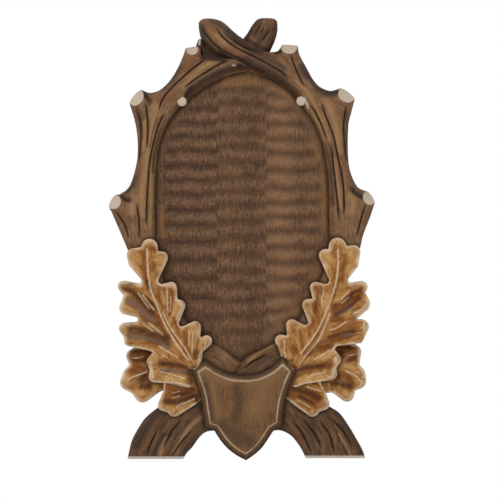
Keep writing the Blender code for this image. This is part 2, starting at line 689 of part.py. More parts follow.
def main():
    for obj in list(bpy.data.objects):
        bpy.data.objects.remove(obj)
    carvings = bpy.data.collections.new("carvings")
    bpy.context.scene.collection.children.link(carvings)
    parts = [left_limb(), right_limb(), lower_crossing(), shield()]
    parts += crossed_tops() + feet() + leaves()
    parts += [twig("left_twig", 182, 101.5), twig("right_twig", 301, 101)]
    for part in parts:
        helper(part, carvings)

    plaque = field()
    plaque.name = "carved_plaque"
    plaque.data.name = "carved_plaque"
    bpy.context.scene.collection.objects.link(plaque)
    join = plaque.modifiers.new("join_carvings", "BOOLEAN")
    join.operation = "UNION"
    join.operand_type = "COLLECTION"
    join.collection = carvings
    slab = wall_slab()
    helper(slab, bpy.context.scene.collection)
    flat_back = plaque.modifiers.new("flat_back", "BOOLEAN")
    flat_back.operation = "DIFFERENCE"
    flat_back.object = slab
    plaque.data.materials.append(wood())


main()
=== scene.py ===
"""A carved lime plaque for antlers, stained and rubbed back, before a plain white studio: a rippled oval
field inside two branches that cross at the top and the bottom, oak leaves, a shield and two sawn feet."""

import math

import bmesh
import bpy
import numpy as np
from bpy.props import FloatProperty, FloatVectorProperty, PointerProperty
from mathutils import Matrix, Vector, noise


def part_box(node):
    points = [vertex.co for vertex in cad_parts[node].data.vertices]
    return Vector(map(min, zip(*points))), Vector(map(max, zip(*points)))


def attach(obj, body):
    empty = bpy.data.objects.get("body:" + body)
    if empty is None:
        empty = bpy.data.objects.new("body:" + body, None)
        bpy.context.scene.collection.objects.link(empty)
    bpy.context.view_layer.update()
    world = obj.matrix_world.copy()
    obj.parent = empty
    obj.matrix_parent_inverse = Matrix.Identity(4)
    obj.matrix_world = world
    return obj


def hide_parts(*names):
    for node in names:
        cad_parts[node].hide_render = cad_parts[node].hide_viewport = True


bl_info = {
    "name": "Carved antler plaque",
    "version": (1, 0, 0),
    "blender": (4, 5, 0),
    "location": "3D View > Sidebar > Plaque",
    "description": "Carves and stains a lime wood plaque for antlers round its plain solid",
    "category": "Object",
}

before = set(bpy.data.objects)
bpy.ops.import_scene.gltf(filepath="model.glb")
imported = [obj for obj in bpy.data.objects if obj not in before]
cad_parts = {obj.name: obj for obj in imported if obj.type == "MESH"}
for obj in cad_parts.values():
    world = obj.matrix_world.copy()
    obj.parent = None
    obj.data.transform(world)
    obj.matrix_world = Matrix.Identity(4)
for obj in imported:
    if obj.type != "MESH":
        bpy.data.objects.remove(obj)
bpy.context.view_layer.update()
PLAQUE_LOW, PLAQUE_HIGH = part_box("carved_plaque")

# The outlines are drawn on a squared sheet, x to the right and y down. Its edges touch the plaque's.
SHEET_LEFT, SHEET_RIGHT = 108.89, 374.98
SHEET_TOP, SHEET_FOOT = 17.61, 460.0
SHEET_MIDDLE = (250, 250)
SHEET_SIDE = 500
SQUARE_X = (PLAQUE_HIGH[0] - PLAQUE_LOW[0]) / (SHEET_RIGHT - SHEET_LEFT)
SQUARE_Z = (PLAQUE_HIGH[2] - PLAQUE_LOW[2]) / (SHEET_FOOT - SHEET_TOP)

# How closely curves are followed, in metres, the turn in degrees from which a corner of an outline is
# sharp, and how close vertices on its border are joined.
CHORD_ERROR = 0.00012
SHARP_CORNER = 25
BORDER_WELD = 2e-5

# The carved pieces from the field forwards. Their backs stand off the wall by a step more each, so that
# no two lie in one plane.
PIECES = ("oval_field", "left_limb", "right_limb", "over_branch", "under_branch", "spur",
          "lower_crossing", "left_foot", "right_foot", "left_back_leaf", "right_back_leaf",
          "left_low_leaf", "right_low_leaf", "left_side_leaf", "right_side_leaf", "left_main_leaf",
          "right_main_leaf", "shield")
BACK_GAP = 0.0003
BACK_STEP = 0.00004

# A thickness far above any wood, how many gaps are measured at once and the least square of a side.
FAR_ABOVE = 1.0
AT_ONCE = 1_500_000
LEAST_SQUARED = 1e-12

# Something soft is taken as faded out at this many of its widths. The soft rubs of stain: how well they
# cover, and how far from their lines they are looked for.
FADED = 3
RUB_STRENGTH, RUB_REACH = 0.75, 0.1

# Stains and painted light and shade, from the first rubbed on to the last: lighter ridges, stain rubbed
# back with a painted highlight; reddish and grey places, the grey on the leaves' ridges a painted sheen;
# dim flanks, notches, troughs and valleys, painted shade; dark hollows, stain in the furrows with painted
# shade and shadow; sanded edges and veins, and bare sawn wood.
STAINS = ("crest", "rust", "grey", "dim", "shade", "pale", "sawn")

# The side walls below the front's rim: where they begin, and the stains that they have, brown stain with
# painted shade.
WALL_RIM = 0.0011
WALL_STAINS = {"crest": 0.0, "rust": 0.3, "grey": 0.0, "dim": 0.6, "shade": 0.3, "pale": 0.0, "sawn": -1.0}


def linear(code):
    """An sRGB hex colour as linear values."""
    values = [int(code[i : i + 2], 16) / 255 for i in (1, 3, 5)]
    return tuple(v / 12.92 if v <= 0.04045 else ((v + 0.055) / 1.055) ** 2.4 for v in values)


def length(name, description, default):
    """A setting in metres."""
    return FloatProperty(name=name, description=description, default=default, unit="LENGTH", precision=4)


def colour(name, description, code):
    """A setting for a colour."""
    return FloatVectorProperty(name=name, description=description, default=linear(code), size=3,
                               min=0, max=1, subtype="COLOR")


class PlaqueSizes(bpy.types.PropertyGroup):
    """Thickness of each carved element from the wall plane, and the marks of the tools on it."""

    field_thick: length("Field", "Thickness of the oval field", 0.016)
    ripple_deep: length("Ripple depth", "Depth of the gouge cuts across the field", 0.0013)
    limb_edge: length("Limb edge", "Thickness of the branches at their edge", 0.014)
    limb_crown: length("Limb crown", "Thickness of the branches at their crown", 0.030)
    limb_low_crown: length("Low crown", "Crown of the branches under the leaves", 0.023)
    rounding: length("Rounding", "How far the branches' rounding reaches in from the edge", 0.013)
    over_crown: length("Upper branch", "Crown of the branch that crosses over", 0.039)
    under_crown: length("Lower branch", "Crown of the branch that crosses under", 0.032)
    branch_end: length("Branch end", "Crown of the upper branch where it joins the limb", 0.029)
    spur_crown: length("Spur", "Crown of the side stub behind the crossing", 0.024)
    lower_crown: length("Bottom crossing", "Crown of the branch that crosses at the bottom", 0.033)
    foot_crown: length("Foot", "Crown of the feet", 0.026)
    foot_lean: length("Sawn foot", "How far the sawn underside of a foot leans forwards", 0.0036)
    cut_low: length("Sawn stubs", "Thickness of a stub at the outer edge of its sawn face", 0.009)
    twig_thick: length("Twigs", "Thickness to the sawn ends of the thin twigs", 0.029)
    twig_radius: length("Twig radius", "Radius of the thin twigs", 0.0058)
    back_leaf: length("Back leaves", "Edge thickness of the hindmost leaves", 0.017)
    low_leaf: length("Low leaves", "Edge thickness of the lowest leaves", 0.0265)
    side_leaf: length("Side leaves", "Edge thickness of the leaves beside the shield", 0.028)
    main_leaf: length("Main leaves", "Edge thickness of the long leaves", 0.030)
    leaf_swell: length("Leaf swell", "How far a leaf rises over its edge", 0.007)
    leaf_rounding: length("Leaf rounding", "How far a leaf's rounding reaches in from the edge", 0.0042)
    shield_thick: length("Shield", "Thickness of the shield", 0.040)
    bevel_deep: length("Bevel depth", "Depth of the shield's bevel", 0.005)
    bevel_wide: length("Bevel width", "Width of the shield's bevel", 0.0075)
    furrow_wide: length("Furrow width", "Width of the V-shaped furrows along the branches", 0.0034)
    furrow_deep: length("Furrow depth", "Depth of those furrows", 0.0026)
    branch_step: length("Branch mesh", "Spacing of the branches' mesh", 0.0009)
    leaf_step: length("Leaf mesh", "Spacing of the leaves' mesh", 0.0007)
    field_step: length("Field mesh", "Spacing of the field's mesh", 0.0010)


class PlaqueColours(bpy.types.PropertyGroup):
    """Stains of the wood, the light and shade painted on it, and the studio."""

    branch_dark: colour("Branch, dark", "Brown stain on the branches where it lies thick", "#5a3f29")
    branch_light: colour("Branch, light", "The same stain where it is rubbed thin", "#96724f")
    # Lighter ridges of the branches: stain rubbed back, with a painted highlight.
    branch_rub_and_highlight: colour("Branch ridges", "Rubbed ridges of the branches", "#a67e55")
    branch_rust: colour("Branch, reddish", "Reddish places on the branches", "#784d34")
    branch_grey: colour("Branch, grey", "Greyish flanks of the branches", "#4c392c")
    # Stain left in the furrows, and painted shade and shadow beside and under what lies over a piece; the
    # field and the shield use it too.
    branch_stain_and_shade: colour("Branch hollows", "Stain left in the furrows", "#2d1b10")
    # Painted shade on the flanks of the branches, in the notches by the stubs and under the crossing
    # branch.
    branch_dim_shade: colour("Branch, dim", "Brown-black stain left on the flanks of the branches", "#3c2b1f")
    smoked_dark: colour("Crossings, dark", "Brown stain left thick on the crossings and feet", "#422c1b")
    smoked_light: colour("Crossings, light", "The same stain where it is rubbed thin", "#745539")
    # Painted shade in the troughs of the field and along its border.
    field_trough_shade: colour("Field, dim", "Brown stain left in patches of the field", "#3b281a")
    # Painted shade in the broad valleys of the leaves.
    leaf_valley_shade: colour("Leaf, umber", "Brown stain in the broad valleys of the leaves", "#673a15")
    field_dark: colour("Field, dark", "Stain in the troughs of the field", "#4c3321")
    field_light: colour("Field, light", "Stain on the crests of the field", "#7c5a3f")
    field_fleck: colour("Field flecks", "Torn fibres on the crests of the field", "#664d38")
    field_gold: colour("Field, golden", "Golden places beside the branches", "#8a6338")
    board_light: colour("Board, light", "The lightest of the panel's boards", "#9c7150")
    board_dark: colour("Board, dark", "The darkest of the panel's boards", "#412b1b")
    shield_dark: colour("Shield, dark", "Stain on the shield where it lies thick", "#5c4028")
    # Brown stain in patches of the shield, and painted shade on its bevel.
    shield_patches_and_bevel_shade: colour("Shield, dim", "Brown stain left in patches of the shield", "#4f3827")
    shield_light: colour("Shield, light", "The same stain where it is rubbed thin", "#84603c")
    shield_gold: colour("Shield, gold", "The rubbed top and right of the shield", "#8e6843")
    leaf_dark: colour("Leaf, dark", "Golden stain on the leaves where it lies thick", "#935b22")
    leaf_light: colour("Leaf, light", "The same stain where it is rubbed thin", "#c8995b")
    leaf_crest: colour("Leaf, gold", "Light golden places on the leaves", "#cfa266")
    leaf_rust: colour("Leaf, reddish", "Reddish places on the leaves", "#834610")
    # Painted sheen on the greyish ridges of the leaves.
    leaf_grey_sheen: colour("Leaf, grey", "Greyish ridges of the leaves", "#7d6150")
    # Painted shade in the hollows of the leaves, and painted shadow beside what lies over them.
    leaf_shade: colour("Leaf hollows", "Brown stain left in the hollows of the leaves", "#47230a")
    leaf_pale: colour("Leaf edges", "Sanded edges and veins of the leaves", "#e9d2b2")
    shield_pale: colour("Shield line", "Sanded arris round the shield", "#c8b094")
    bare_wood: colour("Bare lime", "Unstained end grain of the sawn faces", "#cdbba6")
    # Lighter than the stubs' bare wood: painted light on the feet's sawn undersides, which lie in the
    # feet's shade; the spur's sawn tip has it too.
    sole: colour("Sole", "Bare wood under the feet, planed smooth", "#d9cfc6")
    back_wood: colour("Back", "Thinly stained back of the panel", "#8a6a4b")
    card: colour("Card", "White card that the plaque stands over", "#f4f4f2")


class StageSettings(bpy.types.PropertyGroup):
    """The camera and the lights."""

    camera_away: length("Camera distance", "From the camera to the wall plane", 5.5)
    focus_plane: length("Sheet plane", "Depth at which the sheet's squares have their size", 0.02)
    floor_drop: length("Floor", "How far the floor lies below the plaque", 0.14)
    floor_size: length("Floor size", "Side of the floor", 1.1)
    key_power: FloatProperty(name="Key light", description="Power of the large soft light",
                             default=11.0, unit="POWER")
    fill_power: FloatProperty(name="Fill light", description="Power of the soft light on the right",
                              default=3.0, unit="POWER")
    sky: FloatProperty(name="Surround", description="Brightness of the white surround", default=0.62)


def at(x, y):
    """A point of the sheet as metres across and up."""
    across = PLAQUE_LOW[0] + (x - SHEET_LEFT) * SQUARE_X
    up = PLAQUE_HIGH[2] - (y - SHEET_TOP) * SQUARE_Z
    return np.array((across, up))


def on_sheet(points):
    """Where points stand on the sheet, to the right and down."""
    return (SHEET_LEFT + (points[:, 0] - PLAQUE_LOW[0]) / SQUARE_X,
            SHEET_TOP + (PLAQUE_HIGH[2] - points[:, 1]) / SQUARE_Z)


def smooth(points, steps=8):
    """A Catmull-Rom curve in metres through points of the sheet, given as pairs or as x, y, x, y."""
    p = np.array([at(x, y) for x, y in np.reshape(points, (-1, 2))])
    if len(p) == 2:
        return p
    p = np.vstack((2 * p[0] - p[1], p, 2 * p[-1] - p[-2]))
    found = []
    for a, b, c, d in zip(p, p[1:], p[2:], p[3:]):
        for t in np.arange(steps) / steps:
            turn = (2 * a - 5 * b + 4 * c - d) * t + (3 * b - a - 3 * c + d) * t * t
            found.append(b + 0.5 * t * (c - a + turn))
    return np.array(found + [p[-2]])


def flattened(points, error=CHORD_ERROR):
    """The fewest points of a curve that stay within an error of it."""
    first, last = points[0], points[-1]
    along = (last - first) / max(np.linalg.norm(last - first), 1e-9)
    away = points - first
    off = np.abs(away[:, 0] * along[1] - away[:, 1] * along[0])
    far = int(off.argmax())
    if off[far] <= error:
        return np.array((first, last))
    return np.vstack((flattened(points[: far + 1], error)[:-1], flattened(points[far:], error)))


def run_on(points, far=0.15):
    """An open chain with a straight piece added at either end."""
    first = points[0] + (points[0] - points[1]) / np.linalg.norm(points[0] - points[1]) * far
    last = points[-1] + (points[-1] - points[-2]) / np.linalg.norm(points[-1] - points[-2]) * far
    return np.vstack((first, points, last))


def sides_of(points):
    """The sides of an open chain, as pairs of ends."""
    return np.stack((points[:-1], points[1:]), axis=1)


def stretch(points, carved=True):
    """One stretch of an outline, and whether the surface rounds over along it."""
    return flattened(smooth(points)), carved


def belt(circles):
    """The outline of a belt round circles of the sheet, which it meets in turn with its inside on the
    left. A lobe has a positive radius, a rounded notch a negative one and a sharp corner none."""
    centres = [np.array((x, -y)) for x, y, _ in circles]
    radii = [radius for _, _, radius in circles]
    normals = []
    for i, centre in enumerate(centres):
        j = (i + 1) % len(centres)
        ahead = centres[j] - centre
        span = np.linalg.norm(ahead)
        ahead = ahead / span
        lean = (radii[i] - radii[j]) / span
        right = np.array((ahead[1], -ahead[0]))
        normals.append(ahead * lean + right * math.sqrt(1 - lean * lean))
    points = []
    nearly_round = 1.8 * math.pi
    for i, (centre, radius) in enumerate(zip(centres, radii)):
        arrives = math.atan2(normals[i - 1][1], normals[i - 1][0])
        leaves = math.atan2(normals[i][1], normals[i][0])
        sweep = (leaves - arrives) % math.tau
        if radius <= 0:
            sweep -= math.tau
        if abs(sweep) > nearly_round:
            sweep -= math.copysign(math.tau, sweep)
        error = CHORD_ERROR / SQUARE_X
        turn = 2 * math.acos(max(0.0, 1 - error / max(abs(radius), 2 * error)))
        count = 1 if radius == 0 else max(1, math.ceil(abs(sweep) / turn))
        for k in range(count + 1 if radius else 1):
            angle = arrives + sweep * k / count
            points.append(centre + radius * np.array((math.cos(angle), math.sin(angle))))
    return np.array([at(x, -y) for x, y in points + points[:1]])


class Outline:
    """A closed outline made of stretches, of which only the carved ones round the surface over."""

    def __init__(self, stretches):
        self.loop = np.vstack([points[:-1] for points, _ in stretches])
        self.sides = np.stack((self.loop, np.roll(self.loop, -1, axis=0)), axis=1)
        self.carved = np.vstack([sides_of(points) for points, carved in stretches if carved])


def shared_out(points, count):
    """The indices of points, in shares small enough to be measured against a number of sides at once."""
    return np.array_split(points, len(points) * count // AT_ONCE + 1)


def measured(points, sides):
    """Points against sides: the way to each point from a side's start, the part of the side up to the
    place nearest to the point, and the gap between the two."""
    start = sides[:, 0]
    run = sides[:, 1] - start
    squared = np.maximum((run * run).sum(1), LEAST_SQUARED)
    offset = points[:, None] - start
    part = np.clip((offset * run).sum(2) / squared, 0, 1)
    gap = np.linalg.norm(offset - run * part[..., None], axis=2)
    return offset, part, gap


def distance(points, sides, reach=math.inf):
    """How far each point is from the nearest of the sides, up to a reach."""
    away = np.full(len(points), reach)
    ends = sides.reshape(-1, 2)
    near = ((points > ends.min(0) - reach) & (points < ends.max(0) + reach)).all(1)
    for share in shared_out(np.flatnonzero(near), len(sides)):
        if len(share):
            gap = measured(points[share], sides)[2]
            away[share] = np.minimum(gap.min(1), reach)
    return away


def nearest(points, sides):
    """The point of the sides that is nearest to each point."""
    found = np.empty_like(points)
    for share in shared_out(np.arange(len(points)), len(sides)):
        _, part, gap = measured(points[share], sides)
        best = gap.argmin(1)
        part = part[np.arange(len(share)), best]
        start, end = sides[best, 0], sides[best, 1]
        found[share] = start + (end - start) * part[:, None]
    return found


def inside(points, sides):
    """Whether each point lies within closed sides: a line across from it meets them an odd number of
    times."""
    a, b = sides[:, 0], sides[:, 1]
    rise = np.where(a[:, 1] == b[:, 1], 1.0, b[:, 1] - a[:, 1])
    slope = (b[:, 0] - a[:, 0]) / rise
    found = np.zeros(len(points), bool)
    for share in shared_out(np.arange(len(points)), len(sides)):
        x, z = points[share, 0, None], points[share, 1, None]
        spans = (a[:, 1] > z) != (b[:, 1] > z)
        found[share] = (spans & (x < a[:, 0] + (z - a[:, 1]) * slope)).sum(1) % 2 == 1
    return found


def wander(points, seed, *scale):
    """Smooth noise between -1 and 1 over points of the surface, stretched by a scale in metres."""
    spread = points / np.array(scale)
    return np.array([noise.noise((x, z, seed)) for x, z in spread.tolist()])


def wavering(points, middle, swing, seed, *scale):
    """A value that wavers round its middle, by its swing to either side."""
    return middle + swing * wander(points, seed, *scale)


def fading(away, wide, power=2):
    """The strength of something soft, from 1 where it is to nearly 0 at three times its width away."""
    return np.exp(-((away / wide) ** power))


def rubbed(points, radius, path):
    """How strongly a broad, soft rub along a line of the sheet covers each point."""
    away = distance(points, sides_of(smooth(path)), RUB_REACH)
    return RUB_STRENGTH * fading(away, radius * SQUARE_X)


def unstained(points):
    """Wood before any stain. What is sawn bare counts from -1 well away from a sawn face to 1 on it."""
    stains = {kind: np.zeros(len(points)) for kind in STAINS}
    stains["sawn"] = np.full(len(points), -1.0)
    return stains


class Fall:
    """A crown that goes from one thickness to another between two points of the sheet."""

    def __init__(self, start, end, top, end_top):
        self.start = at(*start)
        self.run = at(*end) - self.start
        self.top, self.end_top = top, end_top

    def at_points(self, points):
        """The crown's thickness at each point."""
        share = np.clip((points - self.start) @ self.run / (self.run @ self.run), 0, 1)
        return self.top + (self.end_top - self.top) * share


class Cut:
    """The sawn end of a stub: an oval face that leans outwards, between two corners of the outline."""

    stain = "sawn"
    # How much the face curves up towards its corners, and how far the saw reaches, in half chords.
    hollow = 0.4
    reach, side_reach = 3, 1.1

    def __init__(self, start, end, out, back, low, top):
        self.start, self.end = at(*start), at(*end)
        self.middle = (self.start + self.end) / 2
        chord = self.end - self.start
        outward = np.array((chord[1], -chord[0])) / np.linalg.norm(chord)
        self.outward = outward if outward @ self.middle > 0 else -outward
        self.out, self.back = out * SQUARE_X, back * SQUARE_X
        self.low, self.top = low, top

    def arc(self, steps=25):
        """The outer edge of the face, bulging outwards from corner to corner."""
        angles = np.linspace(0, math.pi, steps)[:, None]
        half = (self.start - self.end) / 2
        return self.middle + half * np.cos(angles) + self.outward * self.out * np.sin(angles)

    def plane(self, points):
        """The thickness of the face's plane near this stub, and far above the wood elsewhere."""
        chord = (self.start - self.end) / 2
        across = (points - self.middle) @ chord / (chord @ chord)
        away = (points - self.middle) @ self.outward
        lean = (self.out - away) / (self.out + self.back)
        dish = 1 - np.sqrt(np.clip(1 - across * across, 0, 1))
        face = self.low + (lean + self.hollow * dish) * (self.top - self.low)
        close = np.linalg.norm(points - self.middle, axis=1) < self.reach * np.linalg.norm(chord)
        return np.where(close & (abs(across) < self.side_reach), face, FAR_ABOVE)


class Sole:
    """The sawn underside of a foot, which leans forwards a little, so that it shows as a pale strip."""

    stain = "pale"
    low, rise = 0.010, 0.004

    def __init__(self, start, end, lean):
        self.height = (at(*start)[1] + at(*end)[1]) / 2
        self.lean = lean

    def plane(self, points):
        """The thickness of the sole's plane above its edge, and far above the wood higher up."""
        up = (points[:, 1] - self.height) / self.lean
        return np.where(up < 1, self.low + self.rise * np.maximum(up, 0), FAR_ABOVE)


class Carving:
    """A carved element. It rises from its edge to a crown; furrows and sawn faces are cut into it, and
    strokes of stain, painted highlight and painted shade lie on it, each with a little relief of its own."""

    # Darkening along the edges, stain pooled there with painted shade, and painted shadow beside what lies
    # over the piece: widths in metres, strength, how fast it fades, and how it wavers (middle, swing, seed
    # and scale).
    edge_shade, edge_shade_strength, edge_reach = 0.0013, 0.75, 5
    cast_shade, cast_fades = 0.0032, 1.5
    cast_waver = (0.8, 0.35, 29, 0.012, 0.012)
    # What a stroke of each stain does to the surface, in metres, how far past its radius it spreads and
    # how well it covers.
    stroke_relief = {"crest": 0.0004, "rust": 0.0, "grey": 0.0003, "dim": -0.0004, "shade": -0.0009,
                     "pale": 0.0003}
    stroke_spread = {"crest": 1.15, "rust": 1.2, "grey": 1.1, "dim": 1.15, "shade": 1.1, "pale": 1.0}
    stroke_strength = {"crest": 0.85, "rust": 0.8, "grey": 0.8, "dim": 0.85, "shade": 0.9, "pale": 1.0}
    stroke_reach = 2.6
    # Furrows: their rounded shoulders, the stain in them and the length over which they run out.
    shoulder_wide, shoulder_deep = 0.0036, 0.0008
    furrow_shade = 1.6
    run_out = 0.010
    # Over how much depth a sawn face's bare wood turns into stain, and the facets that the knife leaves.
    saw_edge = 0.0015
    facet_long, facet_wide, facet_deep = 0.030, 0.0045, 0.00035

    def __init__(self, name, outline, edge, crown, rounding, sizes, furrows=(), strokes=None, cuts=(),
                 guides=(), covers=()):
        self.name, self.outline, self.edge, self.crown = name, outline, edge, crown
        self.rounding, self.sizes = rounding, sizes
        self.furrows = [flattened(smooth(points)) for points in furrows]
        self.strokes = [(kind, radius * SQUARE_X, sides_of(flattened(smooth(points))))
                        for kind, drawn in (strokes or {}).items() for radius, *points in drawn]
        self.cuts = list(cuts)
        self.guides = [run_on(path) for path in [smooth(points) for points in guides] or self.furrows]
        self.covers = list(covers)

    def rounded(self, points):
        """The thickness of the plain rounded form."""
        top = self.crown.at_points(points) if isinstance(self.crown, Fall) else self.crown
        away = distance(points, self.outline.carved, self.rounding)
        slope = 1 - np.clip(away / self.rounding, 0, 1)
        return self.edge + (top - self.edge) * np.sqrt(1 - slope * slope)

    def furrow_depths(self, points):
        """How deep the V-shaped furrows cut, and how far their shoulders are rounded off."""
        cut = np.zeros(len(points))
        shoulder = np.zeros(len(points))
        for path in self.furrows:
            away = distance(points, sides_of(path), FADED * self.shoulder_wide)
            from_end = np.minimum(*(np.linalg.norm(points - path[k], axis=1) for k in (0, -1)))
            fades = np.clip(from_end / self.run_out, 0, 1) ** 0.5
            slope = np.clip(1 - 2 * away / self.sizes.furrow_wide, 0, 1)
            cut = np.maximum(cut, self.sizes.furrow_deep * slope * fades)
            shoulder = np.maximum(shoulder, self.shoulder_deep * fading(away, self.shoulder_wide) * fades)
        return cut, shoulder

    def flow(self, points):
        """How far along and across the grain of the carving each point is: the cuts follow the guides."""
        along = np.zeros(len(points))
        across = np.zeros(len(points))
        best = np.full(len(points), math.inf)
        for path in self.guides:
            sides = sides_of(path)
            run = sides[:, 1] - sides[:, 0]
            lengths = np.linalg.norm(run, axis=1)
            reached = np.r_[0, np.cumsum(lengths)]
            for share in shared_out(np.arange(len(points)), len(sides)):
                offset, part, gap = measured(points[share], sides)
                side = gap.argmin(1)
                rows = np.arange(len(share))
                offset, part, gap = offset[rows, side], part[rows, side], gap[rows, side]
                turn = run[side, 0] * offset[:, 1] - run[side, 1] * offset[:, 0]
                closer = gap < best[share]
                kept = share[closer]
                best[kept] = gap[closer]
                along[kept] = (reached[side] + part * lengths[side])[closer]
                across[kept] = (gap * np.sign(turn))[closer]
        return np.stack((along, across), axis=1)

    def facets(self, flow, seed):
        """The small facets that the tool leaves along its cuts."""
        return self.facet_deep * wander(flow, seed, self.facet_long, self.facet_wide)

    def stroke_strengths(self, points):
        """How strongly strokes of each stain cover each point, from 0 to 1."""
        strengths = unstained(points)
        for kind, radius, sides in self.strokes:
            radius = radius * self.stroke_spread[kind]
            away = distance(points, sides, self.stroke_reach * radius)
            stroke = self.stroke_strength[kind] * fading(away, radius)
            strengths[kind] = np.maximum(strengths[kind], stroke)
        return strengths

    def surface(self, points):
        """The thickness at each point, the strength of each stain there, and its place in the flow."""
        flow = self.flow(points)
        thick = self.rounded(points)
        cut, shoulder = self.furrow_depths(points)
        stains = self.stroke_strengths(points)
        thick = thick - np.maximum(cut, shoulder)
        for kind, lift in self.stroke_relief.items():
            thick = thick + lift * stains[kind]
        thick = thick + self.facets(flow, len(self.name))
        left = np.clip(self.furrow_shade * cut / self.sizes.furrow_deep, 0, 1)
        stains["shade"] = np.maximum(stains["shade"], left)
        self.shade_edges(points, stains)
        for saw in self.cuts:
            plane = saw.plane(points)
            bare = np.clip((thick - plane) / self.saw_edge, -1, 1)
            stains[saw.stain] = np.maximum(stains[saw.stain], bare)
            thick = np.minimum(thick, plane)
        return thick, stains, flow

    def shade_edges(self, points, stains):
        """Darkens the edges, with stain pooled there and painted shade, and paints shadow beside what lies
        over this piece.
        """
        away = distance(points, self.outline.carved, self.edge_reach * self.edge_shade)
        shade = self.edge_shade_strength * fading(away, self.edge_shade)
        uneven = wavering(points, *self.cast_waver)
        for cover in self.covers:
            beside = distance(points, cover, FADED * self.cast_shade)
            shade = np.maximum(shade, uneven * fading(beside, self.cast_shade, self.cast_fades))
        stains["shade"] = np.maximum(stains["shade"], shade)

    def lay_grid(self, mesh, step):
        """Lays a flat grid over the outline and trims it to it."""
        corner = self.outline.loop.min(0) - step
        size = self.outline.loop.max(0) + step - corner
        columns, rows = (int(math.ceil(side / step)) for side in size)
        middle = corner + size / 2
        place = (Matrix.Translation((middle[0], 0, middle[1])) @ Matrix.Rotation(math.pi / 2, 4, "X")
                 @ Matrix.Diagonal((columns * step / 2, rows * step / 2, 1, 1)))
        bmesh.ops.create_grid(mesh, x_segments=columns, y_segments=rows, size=1, matrix=place)
        flat = flat_points(mesh)
        corners = np.array([[vert.index for vert in face.verts] for face in mesh.faces])
        kept = inside(flat[corners].mean(1), self.outline.sides)
        gone = [face for face, keep in zip(mesh.faces, kept) if not keep]
        bmesh.ops.delete(mesh, geom=gone, context="FACES")
        snap_border(mesh, self.outline)

    def close_behind(self, mesh, layers, grain):
        """Takes side walls from the rim to the back and closes them there. The first strip of a wall
        fades from the face's stains to the walls' own."""
        low = BACK_GAP + PIECES.index(self.name) * BACK_STEP
        rim = [edge for edge in mesh.edges if edge.is_boundary]
        for depth in (WALL_RIM, None):
            walls = bmesh.ops.extrude_edge_only(mesh, edges=rim)["geom"]
            rim = [part for part in walls if isinstance(part, bmesh.types.BMEdge) and part.is_boundary]
            for vert in (part for part in walls if isinstance(part, bmesh.types.BMVert)):
                vert.co.y = -low if depth is None else min(vert.co.y + depth, -low - depth / 2)
                vert[grain] = (*vert[grain].xy, vert.co.y)
                for kind, value in WALL_STAINS.items():
                    vert[layers[kind]] = value
        bmesh.ops.triangle_fill(mesh, use_beauty=True, use_dissolve=False, edges=rim, normal=(0, 1, 0))
        bmesh.ops.recalc_face_normals(mesh, faces=mesh.faces)

    def carve(self, step, material):
        """Carves the whole piece from a grid with a given spacing."""
        mesh = bmesh.new()
        layers = {kind: mesh.verts.layers.float.new(kind) for kind in STAINS}
        grain = mesh.verts.layers.float_vector.new("flow")
        self.lay_grid(mesh, step)
        thick, stains, flow = self.surface(flat_points(mesh))
        for i, vert in enumerate(mesh.verts):
            vert.co.y = -thick[i]
            vert[grain] = (flow[i, 0], flow[i, 1], -thick[i])
            for kind, layer in layers.items():
                vert[layer] = stains[kind][i]
        self.close_behind(mesh, layers, grain)
        finished(self.name, mesh, material)


def flat_points(mesh):
    """Where the vertices of a mesh stand on the wall, across and up."""
    mesh.verts.index_update()
    return np.array([(vert.co.x, vert.co.z) for vert in mesh.verts])


def snap_border(mesh, outline):
    """Moves the ragged border of a trimmed grid onto the outline, and its nearest vertices into the
    outline's sharp corners."""
    border = [vert for vert in mesh.verts if vert.is_boundary]
    flat = np.array([(vert.co.x, vert.co.z) for vert in border])
    onto = nearest(flat, outline.sides)
    before = outline.loop - np.roll(outline.loop, 1, axis=0)
    after = np.roll(outline.loop, -1, axis=0) - outline.loop
    sideways = before[:, 0] * after[:, 1] - before[:, 1] * after[:, 0]
    turn = np.abs(np.arctan2(sideways, (before * after).sum(1)))
    for corner in outline.loop[turn > math.radians(SHARP_CORNER)]:
        onto[np.linalg.norm(onto - corner, axis=1).argmin()] = corner
    for vert, (x, z) in zip(border, onto.tolist()):
        vert.co = (x, 0, z)
    bmesh.ops.remove_doubles(mesh, verts=border, dist=BORDER_WELD)


def finished(name, mesh, material, sharp=60):
    """Turns a bmesh into a piece that rides on the plaque and stands for its plain solid."""
    data = bpy.data.meshes.new(name)
    mesh.to_mesh(data)
    mesh.free()
    data.materials.append(material)
    data.shade_smooth()
    data.set_sharp_from_angle(angle=math.radians(sharp))
    obj = bpy.data.objects.new(name, data)
    bpy.context.scene.collection.objects.link(obj)
    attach(obj, "root")
    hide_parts("carved_plaque")


# The border of the oval field, from the top crossing down either side to the point at the bottom.
LEFT_BORDER = ((243, 72.5), (228, 76), (213, 83), (200, 91), (190, 99), (178, 110), (169, 122),
               (163, 134), (159, 148), (157, 162), (156, 180), (155.5, 210), (156, 245), (160, 268),
               (168, 290), (179, 310), (190, 324), (202, 335), (213, 343), (225, 350), (240, 361))
RIGHT_BORDER = ((262, 76), (272, 80), (284, 88), (295, 97), (305, 110), (314, 124), (321, 140),
                (325, 158), (328, 180), (328.5, 205), (329, 247), (325, 265), (318, 285), (308, 305),
                (297, 322), (285, 335), (272, 344), (262, 349), (250, 354), (241, 361), (236, 367))

# Each sawn stub: its corners, and how far its face bulges outwards and inwards.
LEFT_STUBS = (((197, 46), (185.3, 48), 0.6, 8.0), ((142.5, 90), (130, 105), 3.6, 7.0),
              ((119, 194.5), (110.5, 210), 4.6, 6.0))
RIGHT_STUBS = (((282, 44.5), (298, 45.5), 0.7, 9.0), ((339, 88.5), (354.5, 100), 3.2, 7.8),
               ((365.5, 191), (374.5, 204), 2.6, 7.2))

